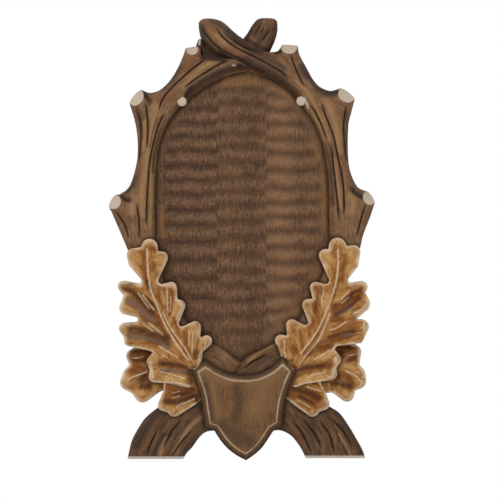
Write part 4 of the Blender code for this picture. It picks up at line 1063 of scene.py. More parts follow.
class Field(Carving):
    """The oval field, crossed by rows of shallow gouge cuts that stop short of its border."""

    margin = 1.04
    edge_shade_strength = 0.0
    # Painted shadow beside the leaves reaches further over the field than over other pieces.
    cast_shade = 0.0045
    # How wide the smooth border is above the upper and below the lower of these lines of the sheet, in
    # metres, and over which share of it the cuts set in.
    smooth_border_lines, smooth_border = (200, 300), (0.009, 0.017)
    smooth_share = 0.4
    border_reach, stain_reach = 0.04, 0.03
    # How the columns and rows of cuts and the boards' joints waver: squares of the sheet, seed, scale.
    column_waver = (3.0, 3, 0.02, 0.009)
    row_waver = (1.8, 5, 0.016, 0.03)
    board_waver = (3.0, 17, 0.01, 0.04)
    # Painted shade in the troughs and along the border, darker in the troughs' narrow bottoms.
    trough_dim, border_dim, border_dim_wide = 0.55, 0.5, 0.005
    trough_waver, trough_least = (0.62, 0.75, 21, 0.022, 0.008), 0.15
    trough_shade, trough_narrow = 0.7, 7
    # The painted shadow line under the branches' edge.
    line_waver, line_least, line_wide = (0.6, 0.6, 23, 0.012, 0.02), 0.2, 0.0021
    board_least, board_swing = 0.08, 0.62
    facet_long, facet_wide, facet_deep, facet_seed = 0.009, 0.0016, 0.00022, 7

    def __init__(self, sizes, covers):
        left, right = smooth(LEFT_BORDER), smooth(RIGHT_BORDER)[::-1]
        self.border = np.vstack((sides_of(left), sides_of(right)))
        middle = (left.mean(0) + right.mean(0)) / 2
        left, right = (middle + (side - middle) * self.margin for side in (left, right))
        outline = Outline([(flattened(left), True), (np.array((left[-1], right[0])), True),
                           (flattened(right), True), (np.array((right[-1], left[0])), True)])
        super().__init__("oval_field", outline, edge=0, crown=0, rounding=0, sizes=sizes, covers=covers)

    def flow(self, points):
        """The grain runs straight up the panel."""
        return points[:, ::-1].copy()

    def ripple(self, points):
        """How strongly the troughs and the crests of the gouge cuts show."""
        x, y = on_sheet(points)
        reach = np.interp(y, self.smooth_border_lines, self.smooth_border)
        x = wavering(points, x, *self.column_waver)
        y = wavering(points, y, *self.row_waver)
        column = (x > RIPPLE_COLUMNS[0]).astype(int) + (x > RIPPLE_COLUMNS[1])
        waves = np.zeros(len(points))
        strengths = np.array(RIPPLE_STRENGTHS)[column]
        for k, (rows, strength) in enumerate(zip(RIPPLE_ROWS, RIPPLE_STRENGTHS)):
            phase = np.interp(y, rows, np.arange(len(rows)))
            waves = np.where(column == k, strength * (0.5 + 0.5 * np.cos(math.tau * phase)), waves)
        away = distance(points, self.border, self.border_reach)
        share = np.clip(away / reach - self.smooth_share, 0, 1)
        return waves * share, (strengths - waves) * share

    def surface(self, points):
        """The rippled board, with painted shade in its troughs and along its border and painted shadow
        beside the leaves, from boards of several tones."""
        flow = self.flow(points)
        ripple, crest = self.ripple(points)
        stains = unstained(points)
        thick = self.sizes.field_thick - self.sizes.ripple_deep * ripple
        thick = thick + self.facets(flow, self.facet_seed)
        self.shade_edges(points, stains)
        away = distance(points, self.border, self.stain_reach)
        stains["dim"] = np.maximum(self.trough_dim * ripple,
                                   self.border_dim * fading(away, self.border_dim_wide))
        uneven = np.clip(wavering(points, *self.trough_waver), self.trough_least, 1)
        bottoms = uneven * self.trough_shade * ripple ** self.trough_narrow
        stains["shade"] = np.maximum(stains["shade"], bottoms)
        line = np.clip(wavering(points, *self.line_waver), self.line_least, 1)
        stains["shade"] = np.maximum(stains["shade"], line * fading(away, self.line_wide))
        stains["crest"] = crest
        for radius, *path in FIELD_GOLD:
            stains["pale"] = np.maximum(stains["pale"], rubbed(points, radius, path))
        x = wavering(points, on_sheet(points)[0], *self.board_waver)
        tone = np.interp(x, BOARD_SIDES, BOARD_TONES)
        stains["rust"] = self.board_least + self.board_swing * np.clip(tone, 0, 1)
        stains["grey"] = self.board_least + self.board_swing * np.clip(-tone, 0, 1)
        return thick, stains, flow


class Shield(Carving):
    """The flat shield with its bevelled edge. The arris between them is sanded pale."""

    arris_wide, top_arris_wide = 0.0009, 0.0014
    arris_waver, arris_least, arris_most = (0.85, 0.5, 31, 0.03, 0.02), 0.4, 1.1
    # Painted shade along the shield's edge, where it stands over the pieces behind.
    edge_shade, edge_shade_strength, edge_reach = 0.0036, 0.8, 0.03
    # The bevel is painted darker than the flat face, as shade on faces that turn from the light, and
    # reaches that tone at a share of its width.
    bevel_dimmed, bevel_dims_over = 0.5, 0.25
    facet_long, facet_wide, facet_deep, facet_seed = 0.03, 0.003, 0.00012, 9

    def __init__(self, sizes):
        outline = Outline([stretch(points) for points in SHIELD_STRETCHES])
        super().__init__("shield", outline, edge=0, crown=0, rounding=0, sizes=sizes)

    def flow(self, points):
        """The grain runs straight up the panel."""
        return points[:, ::-1].copy()

    def surface(self, points):
        """The flat face and its bevel, rubbed lighter in places and sanded along the arris, with painted
        shade on the bevel and along the edge.
        """
        flow = self.flow(points)
        away = distance(points, self.outline.sides, self.edge_reach)
        slope = 1 - np.clip(away / self.sizes.bevel_wide, 0, 1)
        thick = self.sizes.shield_thick - self.sizes.bevel_deep * slope
        thick = thick + self.facets(flow, self.facet_seed)
        stains = unstained(points)
        from_arris = np.abs(away - self.sizes.bevel_wide)
        worn = np.clip(wavering(points, *self.arris_waver), self.arris_least, self.arris_most)
        wide = np.where(on_sheet(points)[1] < SHIELD_TOP_LINE, self.top_arris_wide, self.arris_wide)
        stains["pale"] = worn * fading(from_arris, wide)
        stains["shade"] = self.edge_shade_strength * fading(away, self.edge_shade)
        stains["dim"] = self.bevel_dimmed * np.clip(slope / self.bevel_dims_over, 0, 1)
        flat = away > self.sizes.bevel_wide
        for kind, drawn in SHIELD_STROKES.items():
            for radius, *path in drawn:
                stains[kind] = np.maximum(stains[kind], rubbed(points, radius, path) * flat)
        return thick, stains, flow


def add_node(tree, kind, inputs=None, **settings):
    """Adds a node. A socket given as an input is linked to it, and anything else is its value."""
    node = tree.nodes.new(kind)
    for name, value in settings.items():
        setattr(node, name, value)
    for key, value in (inputs or {}).items():
        if isinstance(value, bpy.types.NodeSocket):
            tree.links.new(value, node.inputs[key])
        else:
            node.inputs[key].default_value = value
    return node


def new_material(name):
    """A new material, its node tree and its shader."""
    material = bpy.data.materials.new(name)
    material.use_nodes = True
    return material, material.node_tree, material.node_tree.nodes["Principled BSDF"]


# The sockets of a mix of two colours.
MIX_A, MIX_B, MIX_RESULT = 6, 7, 2
# Between which values most of a noise texture lies.
NOISE_LOW, NOISE_HIGH = 0.3, 0.7

# The patterns in the stain that don't follow the tool: their size in metres, detail and seed. A lime
# board's own pores are too fine to show, so the finest patterns are drawn coarser, about 1.5 mm wide.
OWN_PATTERNS = {"blotch": ((0.016, 0.016, 0.016), 2.0, 2.0), "worn": ((0.006, 0.006, 0.006), 2.0, 5.0)}
# Those along the cuts. "streaks" and "fine" are added to them at the size that a wood asks for.
CUT_PATTERNS = {"patches": ((0.014, 0.0045, 0.010), 2.0, 31.0),
                "fleck": ((0.0050, 0.0022, 0.004), 1.0, 23.0),
                "edges": ((0.0070, 0.0026, 0.005), 2.0, 17.0)}
# What they are blended to, and by how much: the tone of the stain, its ragged edges and the relief.
BLENDS = {"tone": {"streaks": 0.42, "fine": 0.38, "blotch": 0.2},
          "wear": {"worn": 0.3, "streaks": 0.3, "edges": 0.4},
          "relief": {"fine": 0.6, "streaks": 0.4}}
# How much shorter and narrower than its streaks a wood's fine pattern is.
FINE_SHORTER, FINE_NARROWER = 3.5, 1.9
# Between which values of its pattern a mottled patch sets in.
PATCH_LOW, PATCH_HIGH = 0.50, 0.66
# How a stain's cover breaks up: its pattern, how raggedly unless the wood says it, and the strengths at
# which it sets in and is full. A flecked stain only shows as specks, which lighten what is under them.
COVER = ("wear", None, 0.10, 0.96)
OWN_COVERS = {"sawn": ("wear", 0.1, -0.12, 0.12), "pale": ("fine", None, 0.08, 1.10),
              "crest": ("wear", None, 0.10, 1.25)}
FLECKED_COVER = ("fleck", 3.6, 0.6, 2.0)
# The shine of a thin coat of wax, which is duller where the stain's streaks are light.
SMOOTHEST, ROUGHEST = 0.52, 0.70
WAX_SHINE = 0.2


def stained_lime(name, dark, light, stains, streak=(0.030, 0.0030), contrast=0.12, mottle=0.0,
                 ragged=0.6, flecked=None):
    """Lime wood with a spirit stain rubbed back by hand: close, even grain that only shows as faint
    streaks along the cuts, stain that stays in the hollows, light and shade painted in as stains, and a
    dull, thinly waxed surface."""
    material, tree, shader = new_material(name)
    flow = add_node(tree, "ShaderNodeAttribute", attribute_name="flow").outputs["Vector"]
    place = add_node(tree, "ShaderNodeTexCoord").outputs["Object"]
    long, wide = streak
    cuts = CUT_PATTERNS | {"streaks": ((long, wide, 0.008), 3.0, 0.0),
                           "fine": ((long / FINE_SHORTER, wide / FINE_NARROWER, 0.004), 2.0, 11.0)}
    shades = {}
    for vector, patterns in ((place, OWN_PATTERNS), (flow, cuts)):
        for pattern, (size, detail, seed) in patterns.items():
            inputs = {0: vector, 1: [1 / side for side in size], 2: (seed, seed, seed)}
            spread = add_node(tree, "ShaderNodeVectorMath", inputs, operation="MULTIPLY_ADD").outputs[0]
            inputs = {"Vector": spread, "Scale": 1.0, "Detail": detail}
            shades[pattern] = add_node(tree, "ShaderNodeTexNoise", inputs).outputs["Fac"]
    for blend, parts in BLENDS.items():
        total = 0.0
        for pattern, share in parts.items():
            total = add_node(tree, "ShaderNodeMath", {0: shades[pattern], 1: share, 2: total},
                             operation="MULTIPLY_ADD").outputs[0]
        shades[blend] = total
    tone = add_node(tree, "ShaderNodeMapRange", {"Value": shades["tone"], "From Min": 0.5 - contrast,
                                                 "From Max": 0.5 + contrast}).outputs[0]
    shown = add_node(tree, "ShaderNodeMix", {0: tone, MIX_A: (*dark, 1), MIX_B: (*light, 1)},
                     data_type="RGBA").outputs[MIX_RESULT]
    if mottle:
        inputs = {"Value": shades["patches"], "From Min": PATCH_LOW, "From Max": PATCH_HIGH,
                  "To Max": mottle}
        patches = add_node(tree, "ShaderNodeMapRange", inputs).outputs[0]
        shown = add_node(tree, "ShaderNodeMix", {0: patches, MIX_A: shown, MIX_B: (*stains["rust"], 1)},
                         data_type="RGBA").outputs[MIX_RESULT]
    for kind, stain in stains.items():
        strength = add_node(tree, "ShaderNodeAttribute", attribute_name=kind).outputs["Fac"]
        blend = "MIX"
        pattern, ragged_by, low, high = OWN_COVERS.get(kind, COVER)
        if kind == flecked:
            blend = "SCREEN"
            pattern, ragged_by, low, high = FLECKED_COVER
        ragged_by = ragged_by or ragged
        broken = add_node(tree, "ShaderNodeMath", {0: shades[pattern], 1: ragged_by, 2: strength},
                          operation="MULTIPLY_ADD").outputs[0]
        cover = add_node(tree, "ShaderNodeMapRange", {"Value": broken, "From Min": low + 0.5 * ragged_by,
                                                      "From Max": high + 0.5 * ragged_by}).outputs[0]
        shown = add_node(tree, "ShaderNodeMix", {0: cover, MIX_A: shown, MIX_B: (*stain, 1)},
                         data_type="RGBA", blend_type=blend).outputs[MIX_RESULT]
    tree.links.new(shown, shader.inputs["Base Color"])
    inputs = {"Value": shades["streaks"], "From Min": NOISE_LOW, "From Max": NOISE_HIGH,
              "To Min": SMOOTHEST, "To Max": ROUGHEST}
    sheen = add_node(tree, "ShaderNodeMapRange", inputs).outputs[0]
    tree.links.new(sheen, shader.inputs["Roughness"])
    shader.inputs["Specular IOR Level"].default_value = WAX_SHINE
    bump = add_node(tree, "ShaderNodeBump", {"Height": shades["relief"], "Strength": 0.6,
                                             "Distance": 0.0005})
    tree.links.new(bump.outputs["Normal"], shader.inputs["Normal"])
    return material


def shared(name, dark, light, stains, **settings):
    """A wood that several pieces share, made once."""
    made = bpy.data.materials.get(name)
    stains = {kind: tuple(stain) for kind, stain in stains.items()}
    return made or stained_lime(name, tuple(dark), tuple(light), stains, **settings)


def branch_stains(colours):
    """The stains on the branches' bark."""
    return {"crest": colours.branch_rub_and_highlight, "rust": colours.branch_rust, "grey": colours.branch_grey,
            "dim": colours.branch_dim_shade, "shade": colours.branch_stain_and_shade, "pale": colours.bare_wood,
            "sawn": colours.bare_wood}


def branch_wood(colours):
    """Brown stain on the branches, mottled and rubbed light along the ridges, with painted highlights on
    the ridges and painted shade on the flanks and in the hollows.
    """
    return shared("branch_lime", colours.branch_dark, colours.branch_light, branch_stains(colours),
                  streak=(0.020, 0.0026), contrast=0.13, mottle=0.5)


def smoked_wood(colours):
    """The same wood where more of the stain was left on, at the crossings and the feet."""
    stains = branch_stains(colours) | {"pale": colours.sole}
    return shared("smoked_lime", colours.smoked_dark, colours.smoked_light, stains, mottle=0.35)


def leaf_wood(colours):
    """Golden stain on the leaves, reddish in patches, with pale sanded rims, painted shade in the valleys
    and hollows and a painted sheen on the ridges.
    """
    stains = {"crest": colours.leaf_crest, "rust": colours.leaf_rust, "dim": colours.leaf_valley_shade,
              "grey": colours.leaf_grey_sheen, "shade": colours.leaf_shade, "pale": colours.leaf_pale}
    return shared("leaf_lime", colours.leaf_dark, colours.leaf_light, stains, streak=(0.016, 0.0027),
                  contrast=0.12, mottle=0.7, ragged=0.7)


def field_wood(colours):
    """Even brown stain on the field's boards, flecked where the gouge tore their fibres, with painted
    shade in the troughs and along the border.
    """
    stains = {"rust": colours.board_light, "grey": colours.board_dark, "pale": colours.field_gold,
              "crest": colours.field_fleck, "dim": colours.field_trough_shade, "shade": colours.branch_stain_and_shade}
    return shared("field_lime", colours.field_dark, colours.field_light, stains, streak=(0.012, 0.0026),
                  contrast=0.095, flecked="crest")


def shield_wood(colours):
    """Brown stain on the shield, rubbed golden above and to the right, with painted shade on the bevel and
    along the edge.
    """
    stains = {"crest": colours.shield_gold, "dim": colours.shield_patches_and_bevel_shade, "shade": colours.branch_stain_and_shade,
              "pale": colours.shield_pale}
    return shared("shield_lime", colours.shield_dark, colours.shield_light, stains,
                  streak=(0.012, 0.0032), contrast=0.14)


LEAVES = {"left_main_leaf": LEFT_MAIN_LEAF, "left_side_leaf": LEFT_SIDE_LEAF,
          "left_back_leaf": LEFT_BACK_LEAF, "left_low_leaf": LEFT_LOW_LEAF,
          "right_main_leaf": RIGHT_MAIN_LEAF, "right_side_leaf": RIGHT_SIDE_LEAF,
          "right_back_leaf": RIGHT_BACK_LEAF, "right_low_leaf": RIGHT_LOW_LEAF}


def leaf_sides():
    """The outline of every leaf and of the shield, by name."""
    found = {name: sides_of(belt(drawing[0])) for name, drawing in LEAVES.items()}
    found["shield"] = np.vstack([sides_of(stretch(points)[0]) for points in SHIELD_STRETCHES])
    return found


def wood_settings(context):
    """The sizes and the colours that are set for the plaque."""
    return context.scene.plaque_sizes, context.scene.plaque_colours


class PLAQUE_OT_field(bpy.types.Operator):
    """Carve the rippled oval field"""

    bl_idname = "plaque.field"
    bl_label = "Oval field"

    def execute(self, context):
        sizes, colours = wood_settings(context)
        found = leaf_sides()
        # The field gets painted shadow beside the leaves' outlines.
        covers = [found["left_main_leaf"], found["right_main_leaf"]]
        Field(sizes, covers).carve(sizes.field_step, field_wood(colours))
        return {"FINISHED"}


class PLAQUE_OT_limbs(bpy.types.Operator):
    """Carve the branch along either side of the field, with its furrows and sawn stubs"""

    bl_idname = "plaque.limbs"
    bl_label = "Side limbs"

    def execute(self, context):
        sizes, colours = wood_settings(context)
        found = leaf_sides()
        fall = Fall((242, 235), (242, 300), sizes.limb_crown, sizes.limb_low_crown)
        drawn = (
            ("left_limb", LEFT_STUBS, LEFT_FURROWS, LEFT_LIMB_STROKES, LEFT_BORDER, (
                ((264, 77.5, 260, 68, 246, 62, 230, 59, 216, 58, 204, 57.5, 200.5, 54,
                  200.5, 49, 197, 46), False),
                ((185.3, 48, 184, 53, 178, 67, 170, 80, 160, 89.5, 150, 92.5, 142.5, 90), True),
                ((130, 105, 135, 122, 137.5, 140, 137, 160, 132, 180, 127, 189, 119, 194.5), True),
                ((110.5, 210, 118, 227, 126, 246, 132, 260, 142, 276), True),
                ((142, 276, 148, 300, 160, 335, 185, 365, 215, 385, 240, 385), False),
                ((240, 385, 246, 372, 240, 361), False),
                (LEFT_BORDER[::-1], True),
                ((243, 72.5, 250, 72.6, 257, 74.6, 264, 77.5), True))),
            ("right_limb", RIGHT_STUBS, RIGHT_FURROWS, RIGHT_LIMB_STROKES, RIGHT_BORDER, (
                ((256, 60, 262, 53, 270, 52.3, 277, 51.5, 280.5, 47.7, 282, 44.5), False),
                ((298, 45.5, 299, 53, 303, 61, 308, 70, 313, 79, 320, 86.5, 330, 90.5, 339, 88.5), True),
                ((354.5, 100, 351.5, 112, 348.5, 125, 348, 150, 350, 170, 357, 186, 365.5, 191), True),
                ((374.5, 204, 371, 215, 363, 236, 359.5, 250, 349, 268), True),
                ((349, 268, 343, 295, 332, 325, 312, 355, 285, 375, 260, 386, 240, 386), False),
                ((240, 386, 232, 376, 236, 367), False),
                (RIGHT_BORDER[::-1], True),
                ((262, 76, 256, 68, 256, 60), False))),
        )
        for name, stubs, furrows, strokes, border, stretches in drawn:
            cuts = [Cut(*stub, low=sizes.cut_low, top=sizes.limb_crown) for stub in stubs]
            outline = []
            for i, (points, carved) in enumerate(stretches):
                outline.append(stretch(points, carved))
                if i < len(cuts):
                    outline.append((cuts[i].arc(), False))
            side = name.split("_")[0]
            # The limbs get painted shadow beside the leaves and the shield that lie over them.
            covers = [found[side + "_main_leaf"], found[side + "_back_leaf"], found["shield"]]
            limb = Carving(name, Outline(outline), sizes.limb_edge, fall, sizes.rounding, sizes, furrows,
                           strokes, cuts, (border,), covers)
            limb.carve(sizes.branch_step, branch_wood(colours))
        return {"FINISHED"}


class PLAQUE_OT_crossings(bpy.types.Operator):
    """Carve the branch tops that cross above the field, the side spur and the crossing below it"""

    bl_idname = "plaque.crossings"
    bl_label = "Crossings"
    lower_rounding = 0.008

    def execute(self, context):
        sizes, colours = wood_settings(context)
        found = leaf_sides()
        over_edge = stretch((299, 93, 286, 89, 272, 80.6, 262, 76.2, 250, 70.6, 236, 63.5,
                             224, 57.5, 212, 52, 202, 40, 199, 30, 198.5, 22))[0]
        # Each piece gets painted shadow beside the outlines that it lists as covers.
        pieces = (
            Carving("over_branch", Outline((
                (over_edge, True),
                stretch((198.5, 22, 203, 18.4, 213, 18.2, 223, 21.6, 234, 31.4, 243, 38.2,
                         260, 47.5, 275, 53)),
                stretch((275, 53, 290, 66, 300, 80, 304, 92, 299, 93), False),
            )), sizes.limb_edge, Fall((245, 50), (300, 90), sizes.over_crown, sizes.branch_end),
                sizes.rounding, sizes, OVER_FURROWS, OVER_STROKES, guides=(OVER_FURROWS[0],)),
            Carving("under_branch", Outline((
                stretch((240, 58, 234, 48, 243, 38.5), False),
                stretch((243, 38.5, 248, 32, 252, 25, 258, 18.6, 266, 17.5, 274, 18.2, 277.3, 21)),
                stretch((277.3, 21, 277.5, 30, 275, 40, 270, 51)),
                stretch((270, 51, 256, 58, 240, 58), False),
            )), sizes.limb_edge, sizes.under_crown, sizes.rounding, sizes, UNDER_FURROWS, UNDER_STROKES,
                guides=(UNDER_FURROWS[0],), covers=(sides_of(stretch((234, 31.4, 243, 38.2, 260, 47.5,
                                                                     275, 53))[0]),)),
            Carving("spur", Outline((
                stretch((195.5, 52, 196.5, 44, 199.5, 38.4, 206, 42)),
                stretch((206, 42, 218, 50, 232, 58, 228, 63, 212, 62, 200, 60, 195.5, 52), False),
            )), sizes.limb_edge, sizes.spur_crown, sizes.rounding, sizes, (), SPUR_STROKES,
                guides=(((200, 40), (204, 56)),), covers=(sides_of(over_edge),)),
            Carving("lower_crossing", Outline((
                stretch((280, 337, 272, 343, 262, 349, 250, 354, 241, 361, 234, 370, 226, 382)),
                stretch((226, 382, 262, 392, 296, 372, 280, 337), False),
            )), sizes.limb_edge, sizes.lower_crown, self.lower_rounding, sizes, LOWER_FURROWS,
                LOWER_STROKES, covers=(found["shield"], found["right_main_leaf"])),
        )
        for piece in pieces:
            wood = branch_wood if piece.name == "over_branch" else smoked_wood
            piece.carve(sizes.branch_step, wood(colours))
        return {"FINISHED"}


class PLAQUE_OT_feet(bpy.types.Operator):
    """Carve the two sawn ends of the branches that stand out below"""

    bl_idname = "plaque.feet"
    bl_label = "Feet"

    def execute(self, context):
        sizes, colours = wood_settings(context)
        found = leaf_sides()
        drawn = (
            ("left_foot", LEFT_FOOT_FURROWS, LEFT_FOOT_STROKES, ((127.3, 459.6), (183, 459.6)), (
                ((158, 408, 150, 414, 143, 421, 135, 434, 131, 443, 127.3, 459.6), True),
                ((127.3, 459.6, 183, 459.6), False),
                ((183, 459.6, 187, 453, 192, 448, 200, 437, 207, 432, 216, 431), True),
                ((216, 431, 236, 425, 225, 400, 200, 385, 175, 392, 158, 408), False))),
            ("right_foot", RIGHT_FOOT_FURROWS, RIGHT_FOOT_STROKES, ((306, 458.8), (365.5, 458.8)), (
                ((306, 458.8, 300, 447, 291, 436, 281, 431, 272, 431), True),
                ((272, 431, 252, 425, 262, 400, 290, 385, 312, 390, 329.5, 407), False),
                ((329.5, 407, 340, 414, 350, 428, 357.5, 441, 362.5, 450, 365.5, 458.8), True),
                ((365.5, 458.8, 306, 458.8), False))),
        )
        for name, furrows, strokes, sole, stretches in drawn:
            outline = Outline([stretch(points, carved) for points, carved in stretches])
            saw = Sole(*sole, sizes.foot_lean)
            # The feet get painted shadow beside the shield and the low leaves.
            covers = [found["shield"], found[name.split("_")[0] + "_low_leaf"]]
            foot = Carving(name, outline, sizes.limb_edge, sizes.foot_crown, sizes.rounding, sizes,
                           furrows, strokes, (saw,), (furrows[1],), covers)
            foot.carve(sizes.branch_step, smoked_wood(colours))
        return {"FINISHED"}


class PLAQUE_OT_leaves(bpy.types.Operator):
    """Carve the oak leaves on either side"""

    bl_idname = "plaque.leaves"
    bl_label = "Oak leaves"

    def execute(self, context):
        sizes, colours = wood_settings(context)
        found = leaf_sides()
        layers = (("back", sizes.back_leaf, ("main", "side")), ("low", sizes.low_leaf, ("side",)),
                  ("side", sizes.side_leaf, ()), ("main", sizes.main_leaf, ()))
        for layer, edge, over in layers:
            for side in ("left", "right"):
                name = f"{side}_{layer}_leaf"
                # A leaf gets painted shadow beside the leaves over it and the shield.
                covers = [found[f"{side}_{other}_leaf"] for other in over] + [found["shield"]]
                Leaf(name, LEAVES[name], edge, sizes, covers).carve(sizes.leaf_step, leaf_wood(colours))
        return {"FINISHED"}


class PLAQUE_OT_shield(bpy.types.Operator):
    """Carve the bevelled shield"""

    bl_idname = "plaque.shield"
    bl_label = "Shield"

    def execute(self, context):
        sizes, colours = wood_settings(context)
        Shield(sizes).carve(sizes.branch_step, shield_wood(colours))
        return {"FINISHED"}


class PLAQUE_OT_twigs(bpy.types.Operator):
    """Turn the sawn ends of two thin twigs that point straight out"""

    bl_idname = "plaque.twigs"
    bl_label = "Twig ends"
    # How far in front of the wall a twig begins, and the width of its rounded arris.
    twig_low, arris = 0.010, 0.0009
    segments = 40

    def execute(self, context):
        sizes, colours = wood_settings(context)
        for name, place in TWIGS:
            across, up = at(*place)
            mesh = bmesh.new()
            bmesh.ops.create_circle(mesh, cap_ends=True, segments=self.segments, radius=sizes.twig_radius,
                                    matrix=Matrix.Rotation(math.pi / 2, 4, "X"))
            cap = bmesh.ops.extrude_face_region(mesh, geom=list(mesh.faces))["geom"]
            end = [part for part in cap if isinstance(part, bmesh.types.BMVert)]
            bmesh.ops.translate(mesh, verts=end, vec=(0, self.twig_low - sizes.twig_thick, 0))
            bmesh.ops.translate(mesh, verts=mesh.verts, vec=(across, -self.twig_low, up))
            rim = {edge for vert in end for edge in vert.link_edges if edge.other_vert(vert) in end}
            bmesh.ops.bevel(mesh, geom=list(rim), offset=self.arris, segments=3, profile=0.5,
                            affect="EDGES", material=-1)
            bmesh.ops.recalc_face_normals(mesh, faces=mesh.faces)
            finished(name, mesh, bare_end_grain(colours, (across, 0, up)))
        return {"FINISHED"}


# A wave texture of this scale has its rings about 2 mm apart, as lime's growth rings are. They are a
# little darker than the wood, and never down to their darkest.
RING_SCALE = 160.0
RING_DARKENS, RING_LEAST = 0.74, 0.35
# The grain of the planed back: how fine it is across, into and along the panel, in metres, and how dark.
BACK_GRAIN = (0.0032, 0.004, 0.12)
BACK_DARKENS = 0.55
# How closely the tooth of the card's paper lies, in bumps to the metre.
CARD_TOOTH = 900.0


def bare_end_grain(colours, heart):
    """Bare lime end grain: pale cream, nearly even, with the faintest growth rings round its heart."""
    material, tree, shader = new_material("bare_lime")
    place = add_node(tree, "ShaderNodeTexCoord").outputs["Object"]
    centred = add_node(tree, "ShaderNodeVectorMath", {0: place, 1: heart}, operation="SUBTRACT").outputs[0]
    rings = add_node(tree, "ShaderNodeTexWave", {"Vector": centred, "Scale": RING_SCALE,
                                                 "Distortion": 2.5, "Detail": 2.0},
                     wave_type="RINGS", rings_direction="Y")
    light = tuple(colours.bare_wood)
    dark = tuple(RING_DARKENS * value for value in light)
    tone = add_node(tree, "ShaderNodeMapRange", {"Value": rings.outputs["Fac"],
                                                 "To Min": RING_LEAST}).outputs[0]
    shown = add_node(tree, "ShaderNodeMix", {0: tone, MIX_A: (*dark, 1), MIX_B: (*light, 1)},
                     data_type="RGBA").outputs[MIX_RESULT]
    tree.links.new(shown, shader.inputs["Base Color"])
    shader.inputs["Roughness"].default_value = 0.75
    bump = add_node(tree, "ShaderNodeBump", {"Height": rings.outputs["Fac"], "Strength": 0.2,
                                             "Distance": 0.0002})
    tree.links.new(bump.outputs["Normal"], shader.inputs["Normal"])
    return material


class PLAQUE_OT_back(bpy.types.Operator):
    """Close the plaque behind with the flat back of its panel"""

    bl_idname = "plaque.back"
    bl_label = "Back"
    # How thick a slice of the plain solid is kept, and how close its vertices are joined, in metres.
    skin, weld = 0.0012, 1e-6

    def execute(self, context):
        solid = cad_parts["carved_plaque"]
        mesh = bmesh.new()
        mesh.from_mesh(solid.data)
        bmesh.ops.remove_doubles(mesh, verts=mesh.verts, dist=self.weld)
        everything = list(mesh.verts) + list(mesh.edges) + list(mesh.faces)
        cut = bmesh.ops.bisect_plane(mesh, geom=everything, plane_co=(0, -self.skin, 0),
                                     plane_no=(0, -1, 0), clear_outer=True)
        edges = [part for part in cut["geom_cut"] if isinstance(part, bmesh.types.BMEdge)]
        bmesh.ops.triangle_fill(mesh, use_beauty=True, use_dissolve=False, edges=edges, normal=(0, -1, 0))
        bmesh.ops.recalc_face_normals(mesh, faces=mesh.faces)
        finished("flat_back", mesh, planed_back(context.scene.plaque_colours), sharp=30)
        return {"FINISHED"}


def planed_back(colours):
    """The planed back of the panel, with long straight grain and a thin wash of the stain."""
    material, tree, shader = new_material("planed_lime")
    place = add_node(tree, "ShaderNodeTexCoord").outputs["Object"]
    spread = add_node(tree, "ShaderNodeVectorMath", {0: place, 1: [1 / side for side in BACK_GRAIN]},
                      operation="MULTIPLY").outputs[0]
    streaks = add_node(tree, "ShaderNodeTexNoise", {"Vector": spread, "Scale": 1.0, "Detail": 4.0})
    light = tuple(colours.back_wood)
    dark = tuple(BACK_DARKENS * value for value in light)
    tone = add_node(tree, "ShaderNodeMapRange", {"Value": streaks.outputs["Fac"], "From Min": NOISE_LOW,
                                                 "From Max": NOISE_HIGH}).outputs[0]
    shown = add_node(tree, "ShaderNodeMix", {0: tone, MIX_A: (*dark, 1), MIX_B: (*light, 1)},
                     data_type="RGBA").outputs[MIX_RESULT]
    tree.links.new(shown, shader.inputs["Base Color"])
    shader.inputs["Roughness"].default_value = 0.7
    bump = add_node(tree, "ShaderNodeBump", {"Height": streaks.outputs["Fac"], "Strength": 0.3,
                                             "Distance": 0.0002})
    tree.links.new(bump.outputs["Normal"], shader.inputs["Normal"])
    return material


class PLAQUE_OT_stage(bpy.types.Operator):
    """Set up the pale floor, the soft lights and the camera"""

    bl_idname = "plaque.stage"
    bl_label = "Stage"
    # Each soft light: its name, the setting for its power, where it stands and how wide it is.
    lights = (("key", "key_power", (-0.75, -1.5, 1.15), 0.9),
              ("fill", "fill_power", (1.2, -1.6, 0.1), 1.2))

    def execute(self, context):
        stage, colours = context.scene.plaque_stage, context.scene.plaque_colours
        scene = context.scene
        scene.view_settings.view_transform = "Standard"
        mesh = bmesh.new()
        bmesh.ops.create_grid(mesh, x_segments=8, y_segments=8, size=stage.floor_size / 2,
                              matrix=Matrix.Translation((0, 0, PLAQUE_LOW[2] - stage.floor_drop)))
        data = bpy.data.meshes.new("floor")
        mesh.to_mesh(data)
        mesh.free()
        data.materials.append(white_card(colours))
        floor = bpy.data.objects.new("floor", data)
        scene.collection.objects.link(floor)

        across, up = at(*SHEET_MIDDLE)
        camera = bpy.data.cameras.new("camera")
        camera.sensor_width = 36
        seen_from = stage.camera_away - stage.focus_plane
        camera.lens = camera.sensor_width * seen_from / (SHEET_SIDE * SQUARE_X)
        viewer = bpy.data.objects.new("camera", camera)
        viewer.location = (across, -stage.camera_away, up)
        viewer.rotation_euler = (math.pi / 2, 0, 0)
        scene.collection.objects.link(viewer)
        scene.camera = viewer

        for name, power, place, size in self.lights:
            self.light(scene, name, getattr(stage, power), place, size)
        world = bpy.data.worlds.new("white_room")
        world.use_nodes = True
        tree = world.node_tree
        seen = add_node(tree, "ShaderNodeLightPath").outputs["Is Camera Ray"]
        strength = add_node(tree, "ShaderNodeMapRange", {"Value": seen, "To Min": stage.sky})
        surround = tree.nodes["Background"]
        surround.inputs["Color"].default_value = (1, 1, 1, 1)
        tree.links.new(strength.outputs[0], surround.inputs["Strength"])
        scene.world = world
        return {"FINISHED"}

    def light(self, scene, name, power, place, size):
        """Adds a square light that faces the plaque."""
        lamp = bpy.data.lights.new(name, "AREA")
        lamp.energy = power
        lamp.size = size
        holder = bpy.data.objects.new(name, lamp)
        holder.location = place
        holder.rotation_euler = (-Vector(place)).to_track_quat("-Z", "Y").to_euler()
        scene.collection.objects.link(holder)


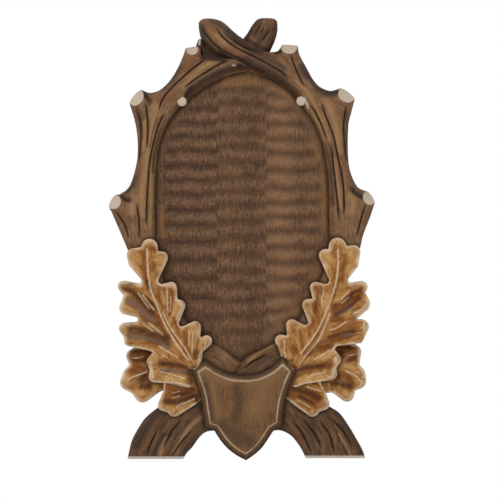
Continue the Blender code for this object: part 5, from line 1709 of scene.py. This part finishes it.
def white_card(colours):
    """Matt white card, with the slight tooth of its paper."""
    material, tree, shader = new_material("white_card")
    shader.inputs["Base Color"].default_value = (*colours.card, 1)
    shader.inputs["Roughness"].default_value = 0.9
    place = add_node(tree, "ShaderNodeTexCoord").outputs["Object"]
    tooth = add_node(tree, "ShaderNodeTexNoise", {"Vector": place, "Scale": CARD_TOOTH, "Detail": 2.0})
    bump = add_node(tree, "ShaderNodeBump", {"Height": tooth.outputs["Fac"], "Strength": 0.1,
                                             "Distance": 0.0002})
    tree.links.new(bump.outputs["Normal"], shader.inputs["Normal"])
    return material


class PLAQUE_PT_panel(bpy.types.Panel):
    """Lists the steps that carve, stain and stage the plaque"""

    bl_idname = "PLAQUE_PT_panel"
    bl_label = "Antler plaque"
    bl_space_type = "VIEW_3D"
    bl_region_type = "UI"
    bl_category = "Plaque"

    def draw(self, context):
        for operator in OPERATORS:
            self.layout.operator(operator.bl_idname)
        for name, _ in GROUPS:
            settings = getattr(context.scene, name)
            box = self.layout.box()
            for setting in type(settings).__annotations__:
                box.prop(settings, setting)


OPERATORS = (PLAQUE_OT_field, PLAQUE_OT_limbs, PLAQUE_OT_crossings, PLAQUE_OT_feet, PLAQUE_OT_leaves,
             PLAQUE_OT_shield, PLAQUE_OT_twigs, PLAQUE_OT_back, PLAQUE_OT_stage)
GROUPS = (("plaque_sizes", PlaqueSizes), ("plaque_colours", PlaqueColours),
          ("plaque_stage", StageSettings))


def register():
    """Adds the settings, the steps and the panel to Blender."""
    for name, group in GROUPS:
        bpy.utils.register_class(group)
        setattr(bpy.types.Scene, name, PointerProperty(type=group))
    for operator in OPERATORS:
        bpy.utils.register_class(operator)
    bpy.utils.register_class(PLAQUE_PT_panel)


def unregister():
    """Takes them away again."""
    bpy.utils.unregister_class(PLAQUE_PT_panel)
    for operator in reversed(OPERATORS):
        bpy.utils.unregister_class(operator)
    for name, group in reversed(GROUPS):
        delattr(bpy.types.Scene, name)
        bpy.utils.unregister_class(group)


def main():
    """Makes the whole plaque."""
    register()
    for operator in OPERATORS:
        section, name = operator.bl_idname.split(".")
        getattr(getattr(bpy.ops, section), name)()


if __name__ == "__main__":
    main()
